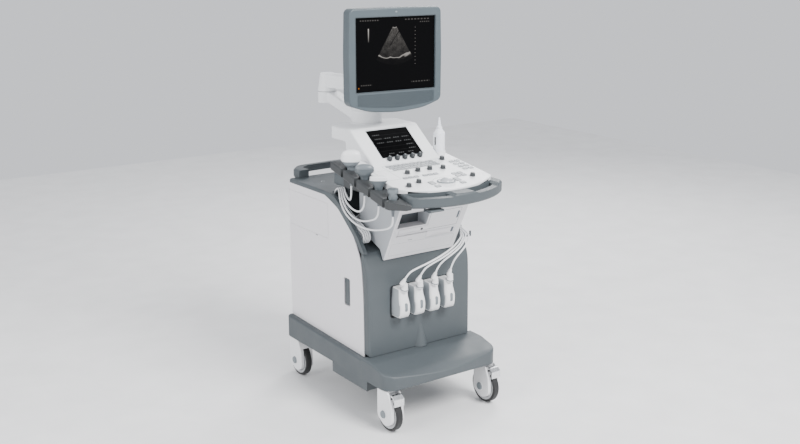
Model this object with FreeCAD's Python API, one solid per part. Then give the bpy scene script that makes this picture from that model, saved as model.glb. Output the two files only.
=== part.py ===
import FreeCAD, Part
import math
import os

# Ultrasound machine on four casters. Millimetres, +Z up, front of the machine faces -Y.
# The origin is on the floor, midway between the four wheels.

V = FreeCAD.Vector
UP = V(0, 0, 1)
ALONG_X = V(1, 0, 0)
ALONG_Y = V(0, 1, 0)

# Casters
WHEEL_R = 62.5
WHEEL_W = 24.0
TRACK_HALF = 210.0
WHEELBASE_HALF = 300.0
CASTER_TRAIL = 20.0
CASTER_TOP = 147.0
CHEEK_HALF = 26.0
CAP_HALF = 32.0
STEM_R = 8.0
AXLE_R = 5.0
PEDAL_Y = 22.0
PEDAL_Z = 133.0

# Base
BASE_HALF = 240.0
BASE_BOTTOM = 150.0
BASE_TOP = 218.0
BASE_RISE = 16.0
BASE_REAR = 350.0
FOOTREST_REAR = -172.0
FOOTREST_FRONT = -352.0
SUMP_BOTTOM = 110.0
WELL_R = 84.0
WALL = 4.0

# Cabinet
BODY_HALF = 218.0
PANEL_T = 4.0
BODY_REAR = 346.0
PANEL_FRONT = -156.0
DECK_TOP = 762.0
DECK_T = 14.0
SEAM_Z = 588.0
FACE_Y = -188.0
FACE_FOOT = 225.0
RECESS_Y = -178.0
RECESS_HALF = 130.0
RECESS_BOTTOM = 350.0
RECESS_TOP = 466.0

# Lift column under the console
COLUMN_Y = 20.0
COLUMN_OUTER = 70.0
COLUMN_INNER = 60.0

# Console
TRAY_BOTTOM = 786.0
TRAY_TOP = 828.0
TRAY_RIGHT = 222.0
TRAY_LEFT = -190.0
TRAY_REAR = 70.0
BAR_CENTRE_Y = -110.0
BAR_R = 328.0
PLATE_HALF = 195.0
PLATE_CENTRE_Y = -58.0
PLATE_R = 330.0
PANEL_SLOPE = math.radians(8.0)
PANEL_Z200 = 860.0
HOOD_HALF = 142.0
HOOD_SLOPE = math.radians(36.3)
HOOD_FOOT_Y = -104.0
HOOD_BACK_Y = 168.0
HOOD_TOP = 978.0
TOUCH_W = 162.0
TOUCH_H = 122.0
POD_HALF = 150.0
POD_LEAN = 0.5
POD_FOOT = (-172.0, 552.0)
POD_BACK = -26.0

# Probe holders and probes
HOLDER_X = -217.0
HOLDER_Y = (-83.0, -165.0, -248.0, -330.0)
HOLDER_OUT = -254.0
HOLDER_IN = -195.5
HOLDER_SLOPE = math.radians(12.8)
HOLDER_Z0 = 892.0
HOLDER_T = 30.0
CUP_R = 19.0

# Monitor and its arm
TURRET_Y = 150.0
ELBOW = (-50.0, 335.0)
ELBOW_R = 36.0
ELBOW_TOP = 1074.0
ARM_BOTTOM = 1092.0
ARM_TOP = 1141.0
TURRET_R = 56.0
YOKE_X = 6.0
YOKE_Y = 70.0
MONITOR_SWIVEL = -5.0
MONITOR_Z = 1240.0
MONITOR_FRONT = -45.0
SCREEN_W = 312.0
SCREEN_H = 250.0
BEZEL_HALF = 182.0
BEZEL_TOP = 154.0
BEZEL_SIDE_FOOT = -168.0
BEZEL_FOOT = -199.0
BEZEL_DEPTH = 43.0
MONITOR_DEPTH = 68.0
TILT_Y = 38.0
TILT_Z = 1200.0

# Probe cables
CABLE_R = 3.2
HOOK_X = 170.0
HOOK_Y = -200.0
HOOK_Z = 607.0
HOOK_R = 3.5
SADDLE = (34.0, 754.0)
SADDLE_R = 18.6
CONNECTOR_X = (-98.0, -33.0, 32.0, 97.0)
BOOT_TOP = V(0, -231, 500)
BOOT_L = 19.0


def place(a, b, axis, level):
    """Point (a, b) of a section drawn across an axis, at a level along that axis."""
    if axis == "x":
        return V(level, a, b)
    if axis == "y":
        return V(a, level, b)
    return V(a, b, level)


def section(corners, axis, level):
    """Face with the given corners (a, b, radius), rounded by tangent arcs."""
    count = len(corners)
    starts = []
    ends = []
    middles = []
    for i, corner in enumerate(corners):
        here = V(corner[0], corner[1], 0)
        before = V(corners[i - 1][0], corners[i - 1][1], 0)
        after = V(corners[(i + 1) % count][0], corners[(i + 1) % count][1], 0)
        radius = corner[2] if len(corner) > 2 else 0.0
        to_before = (before - here).normalize()
        to_after = (after - here).normalize()
        half = to_before.getAngle(to_after) / 2
        if radius == 0.0 or half > math.radians(89.9):
            starts.append(here)
            ends.append(here)
            middles.append(None)
            continue
        back = radius / math.tan(half)
        inward = (to_before + to_after).normalize()
        starts.append(here + to_before * back)
        ends.append(here + to_after * back)
        middles.append(here + inward * (radius / math.sin(half) - radius))
    edges = []
    for i in range(count):
        if middles[i] is not None:
            arc = [place(p.x, p.y, axis, level) for p in (starts[i], middles[i], ends[i])]
            edges.append(Part.Arc(*arc).toShape())
        tail = ends[i]
        head = starts[(i + 1) % count]
        if (head - tail).Length > 1e-6:
            a = place(tail.x, tail.y, axis, level)
            b = place(head.x, head.y, axis, level)
            edges.append(Part.LineSegment(a, b).toShape())
    return Part.Face(Part.Wire(edges))


def prism(corners, axis, start, end):
    """Solid with a rounded section, from start to end along an axis."""
    length = end - start
    direction = {"x": V(length, 0, 0), "y": V(0, length, 0), "z": V(0, 0, length)}[axis]
    return section(corners, axis, start).extrude(direction)


def box(x0, x1, y0, y1, z0, z1):
    return Part.makeBox(x1 - x0, y1 - y0, z1 - z0, V(x0, y0, z0))


def rod(radius, start, end):
    axis = end - start
    return Part.makeCylinder(radius, axis.Length, start, axis)


def rounded_rect(half_a, b0, b1, radius):
    return [(-half_a, b0, radius), (half_a, b0, radius), (half_a, b1, radius), (-half_a, b1, radius)]


def rect(a0, a1, b0, b1, radius):
    return [(a0, b0, radius), (a1, b0, radius), (a1, b1, radius), (a0, b1, radius)]


def mirror_x(shape):
    return shape.mirror(V(0, 0, 0), ALONG_X)


def fuse(shapes):
    joined = shapes[0].fuse(shapes[1:]) if len(shapes) > 1 else shapes[0]
    return joined.removeSplitter()


def fillet_where(shape, radius, test):
    """Round the edges whose middle point passes the test."""
    chosen = []
    for edge in shape.Edges:
        middle = edge.valueAt((edge.FirstParameter + edge.LastParameter) / 2)
        if test(middle, edge):
            chosen.append(edge)
    return shape.makeFillet(radius, chosen)


def export(name, shape):
    shape.exportStep("parts/" + name + ".step")


def arc_y(centre_y, radius, x):
    """Front (-Y) side of a circle centred on the machine's middle plane."""
    return centre_y - math.sqrt(radius * radius - x * x)


def panel_z(y):
    """Height of the sloping control panel."""
    return PANEL_Z200 + (y + 200.0) * math.tan(PANEL_SLOPE)


def hood_z(y):
    """Height of the steeper slope that carries the touch screen."""
    return panel_z(HOOD_FOOT_Y) + (y - HOOD_FOOT_Y) * math.tan(HOOD_SLOPE)


def pod_y(z):
    """Front face of the pod, which leans forward going up."""
    return POD_FOOT[0] - (z - POD_FOOT[1]) * POD_LEAN


def holder_z(y):
    """Top of the probe holder rail, which falls towards the front."""
    return HOLDER_Z0 + y * math.tan(HOLDER_SLOPE)


# ---------------------------------------------------------------- casters

def caster_hood(x, wheel_y, has_pedal):
    """White caster fork: two rounded cheeks, a crown over the wheel, the axle and the swivel stem."""
    stem_y = wheel_y + CASTER_TRAIL
    hub = V(x, wheel_y, WHEEL_R)
    across = V(CHEEK_HALF, 0, 0)
    side = [(wheel_y + 40, 46, 26), (wheel_y + 40, CASTER_TOP, 6), (wheel_y - 24, CASTER_TOP, 14),
            (wheel_y - 44, 104, 22), (wheel_y - 48, 40, 26), (wheel_y - 4, 18, 34)]
    body = prism(side, "x", x - CHEEK_HALF, x + CHEEK_HALF)
    body = fillet_where(body, 3.0, lambda m, e: abs(m.x - x) > CHEEK_HALF - 0.5)
    channel = rod(WHEEL_R + 2.5, hub - V(14, 0, 0), hub + V(14, 0, 0))
    body = body.cut(channel)
    axle = rod(AXLE_R, hub - across, hub + across)
    stem = rod(STEM_R, V(x, stem_y, CASTER_TOP - 4), V(x, stem_y, BASE_BOTTOM + 26))
    collar = rod(17, V(x, stem_y, CASTER_TOP - 4), V(x, stem_y, CASTER_TOP + 1.5))
    pieces = [body, axle, stem, collar]
    for way in (-1, 1):
        face = V(x + way * CHEEK_HALF, wheel_y, WHEEL_R)
        pieces.append(Part.makeCone(15, 12.5, CAP_HALF - CHEEK_HALF, face, V(way, 0, 0)))
    if has_pedal:
        pivot_y = wheel_y - PEDAL_Y
        for way in (-1, 1):
            inner = x + way * 21.0
            outer = x + way * 24.0
            pieces.append(prism(rect(pivot_y - 8, pivot_y + 9, 124, 141, 5), "x", inner, outer))
        pieces.append(rod(2.5, V(x - 24, pivot_y, PEDAL_Z), V(x + 24, pivot_y, PEDAL_Z)))
    hood = fuse(pieces)
    if has_pedal:
        hood = hood.cut(box(x - 20.5, x + 20.5, pivot_y - 40, pivot_y + 9.5, 124, CASTER_TOP + 1))
        hood = fuse([hood, rod(2.5, V(x - 22, pivot_y, PEDAL_Z), V(x + 22, pivot_y, PEDAL_Z))])
    return hood


def caster_wheel(x, wheel_y):
    """Plastic wheel centre with a black tyre round it."""
    hub = V(x, wheel_y, WHEEL_R)
    half = V(WHEEL_W / 2, 0, 0)
    tread_r = WHEEL_R - 9
    tyre = rod(WHEEL_R, hub - half, hub + half)
    tyre = fillet_where(tyre, 4.0, lambda m, e: (m - hub).Length > tread_r and e.Closed)
    tyre = tyre.cut(rod(tread_r, hub - half, hub + half))
    core = rod(tread_r, hub - half * 0.9, hub + half * 0.9)
    core = core.cut(rod(AXLE_R + 0.06, hub - half, hub + half))
    for side in (-1, 1):
        dish = rod(tread_r - 8, hub + V(side * 7, 0, 0), hub + V(side * 12, 0, 0))
        boss = rod(16, hub + V(side * 6, 0, 0), hub + V(side * 13, 0, 0))
        core = core.cut(dish.cut(boss))
    return Part.makeCompound([tyre, core])


def brake_pedal(x, wheel_y):
    """Chrome foot pedal hinged over the front of a front caster."""
    y = wheel_y - PEDAL_Y
    tongue = prism([(y + 6, 129, 3), (y + 6, 139, 3), (y - 20, 141, 6), (y - 34, 131, 5), (y - 35, 104, 2),
                    (y - 31.5, 104, 1), (y - 29, 127, 4), (y - 18, 136, 3), (y - 8, 129, 2)],
                   "x", x - 19.5, x + 19.5)
    return tongue.cut(rod(2.56, V(x - 25, y, PEDAL_Z), V(x + 25, y, PEDAL_Z)))


# ---------------------------------------------------------------- base

def base_top(y):
    """Top of the base moulding, which rises towards the rear."""
    return BASE_TOP + BASE_RISE * (y - FOOTREST_REAR) / (BASE_REAR - FOOTREST_REAR)


def under_base_top(drop, y0, y1):
    """Block that keeps only what lies below the base moulding's sloping top."""
    return prism([(y0, 90), (y1, 90), (y1, base_top(y1) - drop), (y0, base_top(y0) - drop)], "x", -260, 260)


def base_outline(inset):
    half = BASE_HALF - inset
    rear = BASE_REAR - inset
    return [(-half, FOOTREST_REAR), (half, FOOTREST_REAR), (half, rear, 16 - inset), (-half, rear, 16 - inset)]


def base_skirt():
    """Grey moulding round the foot of the cabinet, with the deeper housing between the casters."""
    outer = prism(base_outline(0), "z", BASE_BOTTOM, 250).common(under_base_top(0, -200, 400))
    outer = fillet_where(outer, 8.0, lambda m, e: m.z > base_top(m.y) - 1 and m.y > FOOTREST_REAR + 1)
    inner = prism(base_outline(WALL), "z", BASE_BOTTOM - 1, 250).common(under_base_top(WALL, -200, 400))
    opening = box(-BODY_HALF + 8, BODY_HALF - 8, FOOTREST_REAR - 1, BODY_REAR - 10, 190, 250)
    skirt = outer.cut(inner.fuse(opening))
    end = box(-BASE_HALF + 1, BASE_HALF - 1, FOOTREST_REAR, FOOTREST_REAR + 3, BASE_BOTTOM, BASE_TOP - 12)
    doorway = box(-200, 200, FOOTREST_REAR - 1, FOOTREST_REAR + 4, BASE_BOTTOM - 1, BASE_TOP - 30)
    sump = prism(rect(-237, 237, -232, 33, 10), "z", SUMP_BOTTOM, BASE_BOTTOM)
    cavity = prism(rect(-233, 233, -228, 29, 7), "z", SUMP_BOTTOM + WALL, BASE_BOTTOM + 1)
    for side in (-1, 1):
        well = V(side * TRACK_HALF, CASTER_TRAIL - WHEELBASE_HALF, 100)
        cavity = cavity.cut(rod(WELL_R + WALL, well, well + UP * 60))
        sump = sump.cut(rod(WELL_R, well, well + UP * 60))
    plate_slot = box(-229, 229, FOOTREST_REAR - 1, FOOTREST_REAR + 4, BASE_BOTTOM - 1, BASE_BOTTOM + 9)
    return fuse([skirt, end.cut(doorway).cut(plate_slot), sump.cut(cavity)])


def footrest_plan(inset):
    """Plan of the footrest: straight sides, well rounded corners and a gently bowed front."""
    half = BASE_HALF + 2 - inset
    front = FOOTREST_FRONT + inset
    return [(-half, FOOTREST_REAR), (-half, front + 26, 50 - inset), (-120, front + 8, 400), (0, front - 4, 600),
            (120, front + 8, 400), (half, front + 26, 50 - inset), (half, FOOTREST_REAR)]


def footrest():
    """Front step of the base, sloping down to a rounded nose."""
    rear = FOOTREST_REAR - 0.2
    side = [(rear, BASE_BOTTOM), (rear, BASE_TOP + 6), (-232, BASE_TOP + 5, 90), (-322, 202, 90),
            (-357, 184, 14), (-353, 162, 14), (-330, BASE_BOTTOM, 20)]
    shell = prism(side, "x", -BASE_HALF - 3, BASE_HALF + 3).common(
        prism(footrest_plan(0), "z", BASE_BOTTOM, BASE_TOP + 10))
    shell = fillet_where(shell, 7.0, lambda m, e: abs(m.x) > BASE_HALF and m.z > 190 and m.y < -175)
    hollow = [(rear + 1, BASE_BOTTOM - 1), (rear + 1, BASE_TOP - 12), (-240, BASE_TOP - 14), (-318, 190),
              (-332, 180), (-332, BASE_BOTTOM - 1)]
    inner = prism(hollow, "x", -BASE_HALF + 8, BASE_HALF - 8).common(
        prism(footrest_plan(9), "z", BASE_BOTTOM - 1, BASE_TOP))
    return shell.cut(inner)


def caster_positions():
    return {"front_left": (-TRACK_HALF, -WHEELBASE_HALF), "front_right": (TRACK_HALF, -WHEELBASE_HALF),
            "rear_left": (-TRACK_HALF, WHEELBASE_HALF), "rear_right": (TRACK_HALF, WHEELBASE_HALF)}


def chassis():
    """Steel base plate with stem sockets, uprights, a top frame and the outer lift column."""
    plate = box(-228, 228, FOOTREST_REAR + 5, 330, BASE_BOTTOM + 2, BASE_BOTTOM + 8)
    tongue = prism(rect(-224, 224, -304, FOOTREST_REAR + 40, 30), "z", BASE_BOTTOM + 2, BASE_BOTTOM + 8)
    pieces = [plate, tongue]
    for x, y in caster_positions().values():
        stem_y = y + CASTER_TRAIL
        foot = V(x, stem_y, BASE_BOTTOM + 2)
        pieces.append(rod(13, foot, foot + UP * 27))
    for side in (-1, 1):
        for y, top in ((-110, 540), (120, 745), (300, 745)):
            x = side * 192
            pieces.append(box(x - 12, x + 12, y - 12, y + 12, BASE_BOTTOM + 8, top))
        pieces.append(box(side * 192 - 12, side * 192 + 12, -98, 108, 516, 540))
        pieces.append(box(side * 192 - 12, side * 192 + 12, 132, 288, 721, 745))
    pieces.append(box(-180, 180, 108, 132, 721, 745))
    pieces.append(box(-180, 180, 288, 312, 721, 745))
    half = COLUMN_OUTER / 2
    pieces.append(box(-half, half, COLUMN_Y - half, COLUMN_Y + half, BASE_BOTTOM + 8, 628))
    pieces.append(box(-70, 70, COLUMN_Y - 60, COLUMN_Y + 60, BASE_BOTTOM + 8, BASE_BOTTOM + 16))
    frame = fuse(pieces)
    bore = COLUMN_INNER / 2 + 0.4
    frame = frame.cut(box(-bore, bore, COLUMN_Y - bore, COLUMN_Y + bore, BASE_BOTTOM + 16, 629))
    for x, y in caster_positions().values():
        stem_y = y + CASTER_TRAIL
        frame = frame.cut(rod(STEM_R + 0.08, V(x, stem_y, BASE_BOTTOM), V(x, stem_y, BASE_BOTTOM + 26.5)))
    return frame


# ---------------------------------------------------------------- cabinet

def shoulder_curve():
    """Front edge of the side panels, top to bottom: it sweeps forward like an S."""
    return [(92, DECK_TOP - DECK_T, 50), (62, 738, 40), (4, 716, 90), (-92, 640, 90), (-140, 560, 160), (-152, 430, 600),
            (PANEL_FRONT, base_top(PANEL_FRONT))]


def panel_outline():
    """Outline of a side panel in Y and Z."""
    rear = [(BODY_REAR, base_top(BODY_REAR)), (BODY_REAR, DECK_TOP - DECK_T)]
    return rear + [(140, DECK_TOP - DECK_T)] + shoulder_curve()


def side_panel():
    """Left cover of the cabinet, with a latch pocket and the outline of a small door."""
    panel = prism(panel_outline(), "x", -BODY_HALF, -BODY_HALF + PANEL_T)
    stiffener = prism(rect(-110, 300, 250, 560, 20), "x", -BODY_HALF + PANEL_T, -BODY_HALF + PANEL_T + 3)
    cutout = prism(rect(-90, 280, 270, 540, 14), "x", -BODY_HALF + 1, -BODY_HALF + 10)
    panel = panel.fuse(stiffener.cut(cutout))
    groove_out = prism(rect(70, 360, 592, 722, 3), "x", -BODY_HALF - 1, -BODY_HALF + 1.2)
    groove_in = prism(rect(72, 360, 594, 720, 2), "x", -BODY_HALF - 2, -BODY_HALF + 2)
    panel = panel.cut(groove_out.cut(groove_in))
    housing = prism(rect(-72, -28, 374, 480, 9), "x", -BODY_HALF + 1, -BODY_HALF + 17)
    pocket = prism(rect(-69, -31, 377, 477, 7), "x", -BODY_HALF - 1, -BODY_HALF + 14)
    return panel.fuse(housing).cut(pocket).removeSplitter()


def face_curve():
    """Front face of the cabinet from the footrest up to the seam under the pod."""
    return [(FACE_Y, FACE_FOOT), (-185, 450, 700), (-181, 520, 120), (-160, 572, 60), (-146, SEAM_Z - 0.4)]


def front_panel():
    """Grey front cover with the recess for the probe connectors and the ridge below it."""
    back = [(PANEL_FRONT + 14, SEAM_Z - 0.4), (PANEL_FRONT + 14, 560), (PANEL_FRONT + 0.4, 470, 300),
            (PANEL_FRONT - 0.6, FACE_FOOT)]
    solid = prism(face_curve() + back, "x", -BODY_HALF, BODY_HALF)
    solid = fillet_where(solid, 9.0, lambda m, e: abs(m.x) > BODY_HALF - 1 and m.y < -157 and m.z < 586)
    hollow = [(FACE_Y + 5, BASE_TOP), (-180, 450), (-176, 520), (-155, 572), (-142, SEAM_Z + 1),
              (PANEL_FRONT + 40, SEAM_Z + 1), (PANEL_FRONT + 40, BASE_TOP)]
    shell = solid.cut(prism(hollow, "x", -BODY_HALF + 5, BODY_HALF - 5))
    liner = prism(rounded_rect(RECESS_HALF + 4, RECESS_BOTTOM - 4, RECESS_TOP + 4, 14), "y", -183, RECESS_Y + 4)
    pocket = prism(rounded_rect(RECESS_HALF, RECESS_BOTTOM, RECESS_TOP, 11), "y", -200, RECESS_Y)
    shell = shell.fuse(liner).cut(pocket)
    ridge = Part.makeCone(29, 10, 78, V(0, FACE_Y + 10, FACE_FOOT), UP)
    tip = Part.makeSphere(10.3, V(0, FACE_Y + 10, FACE_FOOT + 75))
    fin = ridge.fuse(tip).common(box(-40, 40, -230, FACE_Y + 4, FACE_FOOT, 330))
    return shell.fuse(fin).removeSplitter()


def rear_panel():
    """White rear cover with louvres, the mains inlet opening and the fan grille."""
    y = BODY_REAR
    foot = base_top(y)
    panel = prism(rounded_rect(BODY_HALF - PANEL_T - 0.3, foot, DECK_TOP - DECK_T - 0.5, 4), "y", y - 4, y)
    for row in range(9):
        z = 480 + row * 22
        panel = panel.cut(prism(rounded_rect(120, z, z + 8, 3.9), "y", y - 5, y + 1))
    panel = panel.cut(prism(rect(-140, -92, 250, 278, 3), "y", y - 5, y + 1))
    for ring in range(4):
        outer = rod(52 - ring * 12, V(110, y - 5, 330), V(110, y + 1, 330))
        inner = rod(45 - ring * 12, V(110, y - 5, 330), V(110, y + 1, 330))
        slot = outer.cut(inner) if ring < 3 else outer
        for spoke in range(2):
            bar = box(106, 114, y - 6, y + 2, 270, 390)
            bar.rotate(V(110, y, 330), ALONG_Y, 45 + 90 * spoke)
            slot = slot.cut(bar)
        panel = panel.cut(slot)
    return panel


def shoulder_sheet():
    """Recessed sheet between the shoulders, under and behind the pod."""
    front = [(-146, SEAM_Z), (-90, 603, 30), (-8, 644, 40), (54, 688, 40), (70, 748)]
    back = [(75, 748), (59, 686, 36), (-4, 640, 40), (-87, 599, 30), (-138, SEAM_Z)]
    back = [(y, z, r[0] if r else 0) for y, z, *r in back]
    sheet = prism(front + back, "x", -BODY_HALF + 14, BODY_HALF - 14)
    hole = COLUMN_INNER / 2 + 4
    return sheet.cut(box(-hole, hole, COLUMN_Y - hole, COLUMN_Y + hole, 600, 760))


def shoulder(side):
    """Raised grey band that carries the side panel's curve up to the deck."""
    outer = [(52, DECK_TOP, 20), (26, 752, 60), (-38, 712, 90), (-122, 638, 90), (-158, 592), (-160, SEAM_Z)]
    inner = [(-139, SEAM_Z), (-92 + 1, 640.5, 90), (4 + 1, 716.5, 90), (62, 738.5, 40), (92, 748)]
    edge = outer + [(y, z, r[0] if r else 0) for y, z, *r in inner] + [(92, DECK_TOP)]
    x0 = side * (BODY_HALF - 14)
    x1 = side * BODY_HALF
    band = prism(edge, "x", min(x0, x1), max(x0, x1))
    skin = side * (BODY_HALF - PANEL_T)
    return band.cut(prism(panel_outline(), "x", min(skin, x1), max(skin, x1)))


def rear_handle():
    """Push bar that rises from the rear of the deck and bows out behind it."""
    outer = [(-190, 318), (190, 318), (190, 364, 40), (146, 414, 60), (0, 423, 900), (-146, 414, 60),
             (-190, 364, 40)]
    bar = prism(outer, "z", DECK_TOP - 1, DECK_TOP + 30)
    bar = fillet_where(bar, 9.0, lambda m, e: m.z > DECK_TOP + 29 and m.y > 320)
    gap = [(-148, 200), (148, 200), (148, 370, 24), (106, 388, 60), (0, 394, 900), (-106, 388, 60),
           (-148, 370, 24)]
    bar = bar.cut(prism(gap, "z", DECK_TOP - 2, DECK_TOP + 31))
    under = prism([(340, DECK_TOP - 4), (440, DECK_TOP - 4), (440, DECK_TOP + 8, 10), (366, DECK_TOP + 4, 30)],
                  "x", -200, 200)
    return bar.cut(under)


def top_deck():
    """Grey deck, its shoulders, the recessed sheet and the rear push bar, moulded as one cover."""
    rear = BODY_REAR + 2
    plan = [(-BODY_HALF, 60), (BODY_HALF, 60), (BODY_HALF, rear, 12), (-BODY_HALF, rear, 12)]
    deck = prism(plan, "z", DECK_TOP - DECK_T, DECK_TOP)
    deck = fillet_where(deck, 6.0, lambda m, e: m.z > DECK_TOP - 0.5 and m.y > 61)
    underside = box(-BODY_HALF + PANEL_T, BODY_HALF - PANEL_T, 75, BODY_REAR, DECK_TOP - DECK_T - 1,
                    DECK_TOP - 5)
    gap = box(-BODY_HALF + 14, BODY_HALF - 14, 40, 66, DECK_TOP - DECK_T - 1, DECK_TOP + 1)
    deck = deck.cut(underside.fuse(gap))
    return fuse([deck, rear_handle(), shoulder_sheet(), shoulder(-1), shoulder(1)])


def probe_connectors():
    """Four probe plugs side by side, each a deep white housing with a lock knob and a cable boot."""
    plugs = []
    rear = RECESS_Y
    for x in CONNECTOR_X:
        side = [(rear, 358, 4), (rear, 462, 4), (-200, 468, 12), (-226, 462, 14), (-234, 420, 30),
                (-236, 395, 20), (-228, 360, 12)]
        shell = prism(side, "x", x - 22, x + 22)
        shell = fillet_where(shell, 7.0, lambda m, e: abs(m.x - x) > 21 and m.y < -180)
        lock = prism(rect(x - 7, x + 7, 386, 418, 6.9), "y", -239, -228)
        neck = Part.makeCone(13, 8.5, 26, V(x, BOOT_TOP.y + 6, 458), V(0, -6, 22))
        tip = V(x, BOOT_TOP.y, BOOT_TOP.z)
        boot = Part.makeCone(8.5, CABLE_R + 1.2, BOOT_L, tip - boot_axis(x) * BOOT_L, boot_axis(x))
        plugs.append(fuse([shell, lock, neck, boot]))
    return Part.makeCompound(plugs)


def boot_axis(x):
    """Direction in which a plug's cable leaves it: upward, leaning towards the hook on the right."""
    lean = V(0.45 - x * 0.0022, -0.16, 1)
    return lean.normalize()


def power_supply():
    """Mains power supply with its inlet socket at the rear."""
    case = prism(rect(-172, -30, 236, 318, 4), "z", 168, 298)
    inlet = prism(rect(-138, -94, 252, 276, 2), "y", 300, BODY_REAR - 0.5)
    well = prism(rect(-134, -98, 255, 273, 2), "y", 316, BODY_REAR)
    unit = case.fuse(inlet).cut(well)
    for x in (-125, -116, -107):
        unit = unit.fuse(box(x - 1, x + 1, 316, 334, 260, 267))
    return unit.removeSplitter()


def electronics_rack():
    """Card cage with eight boards between its two side plates."""
    pieces = []
    for side in (-1, 1):
        x = side * 150
        pieces.append(box(x - 2, x + 2, 70, 250, 300, 540))
    pieces.append(box(-148, 148, 70, 250, 300, 303))
    pieces.append(box(-148, 148, 70, 250, 537, 540))
    pieces.append(box(-148, 148, 247, 250, 303, 537))
    for slot in range(8):
        x = -126 + slot * 36
        pieces.append(box(x - 1, x + 1, 82, 247, 303, 537))
    legs = [box(s * 150 - 6, s * 150 + 6, 90, 110, BASE_BOTTOM + 8, 300) for s in (-1, 1)]
    return fuse(pieces + legs)


def cooling_fan():
    """Seven-bladed exhaust fan behind the rear grille."""
    centre = V(110, 305, 330)
    hub = rod(18, centre, centre + V(0, 18, 0))
    blades = []
    for i in range(7):
        blade = box(-9, 9, 0, 2.4, 14, 47)
        blade.rotate(V(0, 0, 0), UP, 32)
        blade.translate(centre + V(0, 8, 0))
        blade.rotate(centre, ALONG_Y, i * 360 / 7)
        blades.append(blade)
    return fuse([hub] + blades)


# ---------------------------------------------------------------- console

def lift_column():
    """Inner square tube of the height column, with the plate that carries the console."""
    half = COLUMN_INNER / 2
    tube = box(-half, half, COLUMN_Y - half, COLUMN_Y + half, 400, TRAY_BOTTOM - 6)
    tube = tube.cut(box(-half + 4, half - 4, COLUMN_Y - half + 4, COLUMN_Y + half - 4, 399, TRAY_BOTTOM))
    plate = box(-75, 75, POD_BACK + 0.5, 66, TRAY_BOTTOM - 6, TRAY_BOTTOM)
    return tube.fuse(plate).removeSplitter()


def bowed_front(centre_y, radius, half, rear, left=None):
    """Plan face with an arc across the front from -half to +half and square rear corners."""
    left = -half if left is None else left
    a = V(left, arc_y(centre_y, radius, left), 0)
    b = V(0, centre_y - radius, 0)
    c = V(half, arc_y(centre_y, radius, half), 0)
    d = V(half, rear, 0)
    e = V(left, rear, 0)
    edges = [Part.Arc(a, b, c).toShape()]
    for start, end in ((c, d), (d, e), (e, a)):
        edges.append(Part.LineSegment(start, end).toShape())
    return Part.Face(Part.Wire(edges))


def grip_slot(side):
    """Finger opening between the console and its front bar, on one side of the middle."""
    outer = rod(BAR_R - 25, V(0, BAR_CENTRE_Y, 700), V(0, BAR_CENTRE_Y, 900))
    inner = rod(PLATE_R + 3, V(0, PLATE_CENTRE_Y, 700), V(0, PLATE_CENTRE_Y, 900))
    x0 = 48 if side > 0 else -168
    band = prism(rect(x0, x0 + 120, -460, -300, 8), "z", 700, 900)
    return outer.cut(inner).common(band)


def grip_dip(side):
    """Shallow dip in the top of the front bar, over one finger opening."""
    x0 = 48 if side > 0 else -168
    low = TRAY_TOP - 9
    profile = [(x0 - 16, TRAY_TOP + 1), (x0 + 6, low, 16), (x0 + 114, low, 16), (x0 + 136, TRAY_TOP + 1)]
    inner = rod(PLATE_R + 3, V(0, PLATE_CENTRE_Y, 700), V(0, PLATE_CENTRE_Y, 900))
    return prism(profile, "y", -460, -280).cut(inner)


def right_cable_hook():
    """Rod that hangs from the tray and turns out into a rest for the four probe cables."""
    x = HOOK_X - 13
    y = HOOK_Y
    foot = HOOK_Z - CABLE_R - HOOK_R - 1.2
    drop = rod(HOOK_R, V(x, y, foot), V(x, y, TRAY_BOTTOM + 3))
    far = x + 50
    rest = rod(HOOK_R, V(x, y, foot), V(far, y, foot))
    tip = rod(HOOK_R, V(far, y, foot), V(far, y, foot + 14))
    ends = [Part.makeSphere(HOOK_R, V(x, y, foot)), Part.makeSphere(HOOK_R, V(far, y, foot)),
            Part.makeSphere(HOOK_R, V(far, y, foot + 14))]
    flange = rod(6.5, V(x, y, TRAY_BOTTOM - 2.5), V(x, y, TRAY_BOTTOM + 2))
    return fuse([drop, rest, tip, flange] + ends)


def left_cable_saddle():
    """Half drum under the tray that turns the cables back towards the probes."""
    y, z = SADDLE
    drum = rod(SADDLE_R, V(-165, y, z), V(-199.5, y, z))
    drum = drum.cut(rod(SADDLE_R - 4, V(-165, y, z), V(-201, y, z)))
    drum = drum.cut(box(-210, -160, y - 40, y + 40, z - 40, z - 10))
    web = prism([(y - 17, z - 10, 3), (y - 17, TRAY_BOTTOM + 2), (y + 17, TRAY_BOTTOM + 2), (y + 17, z - 10, 3)],
                "x", -165, -161)
    return drum.fuse(web)


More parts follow.
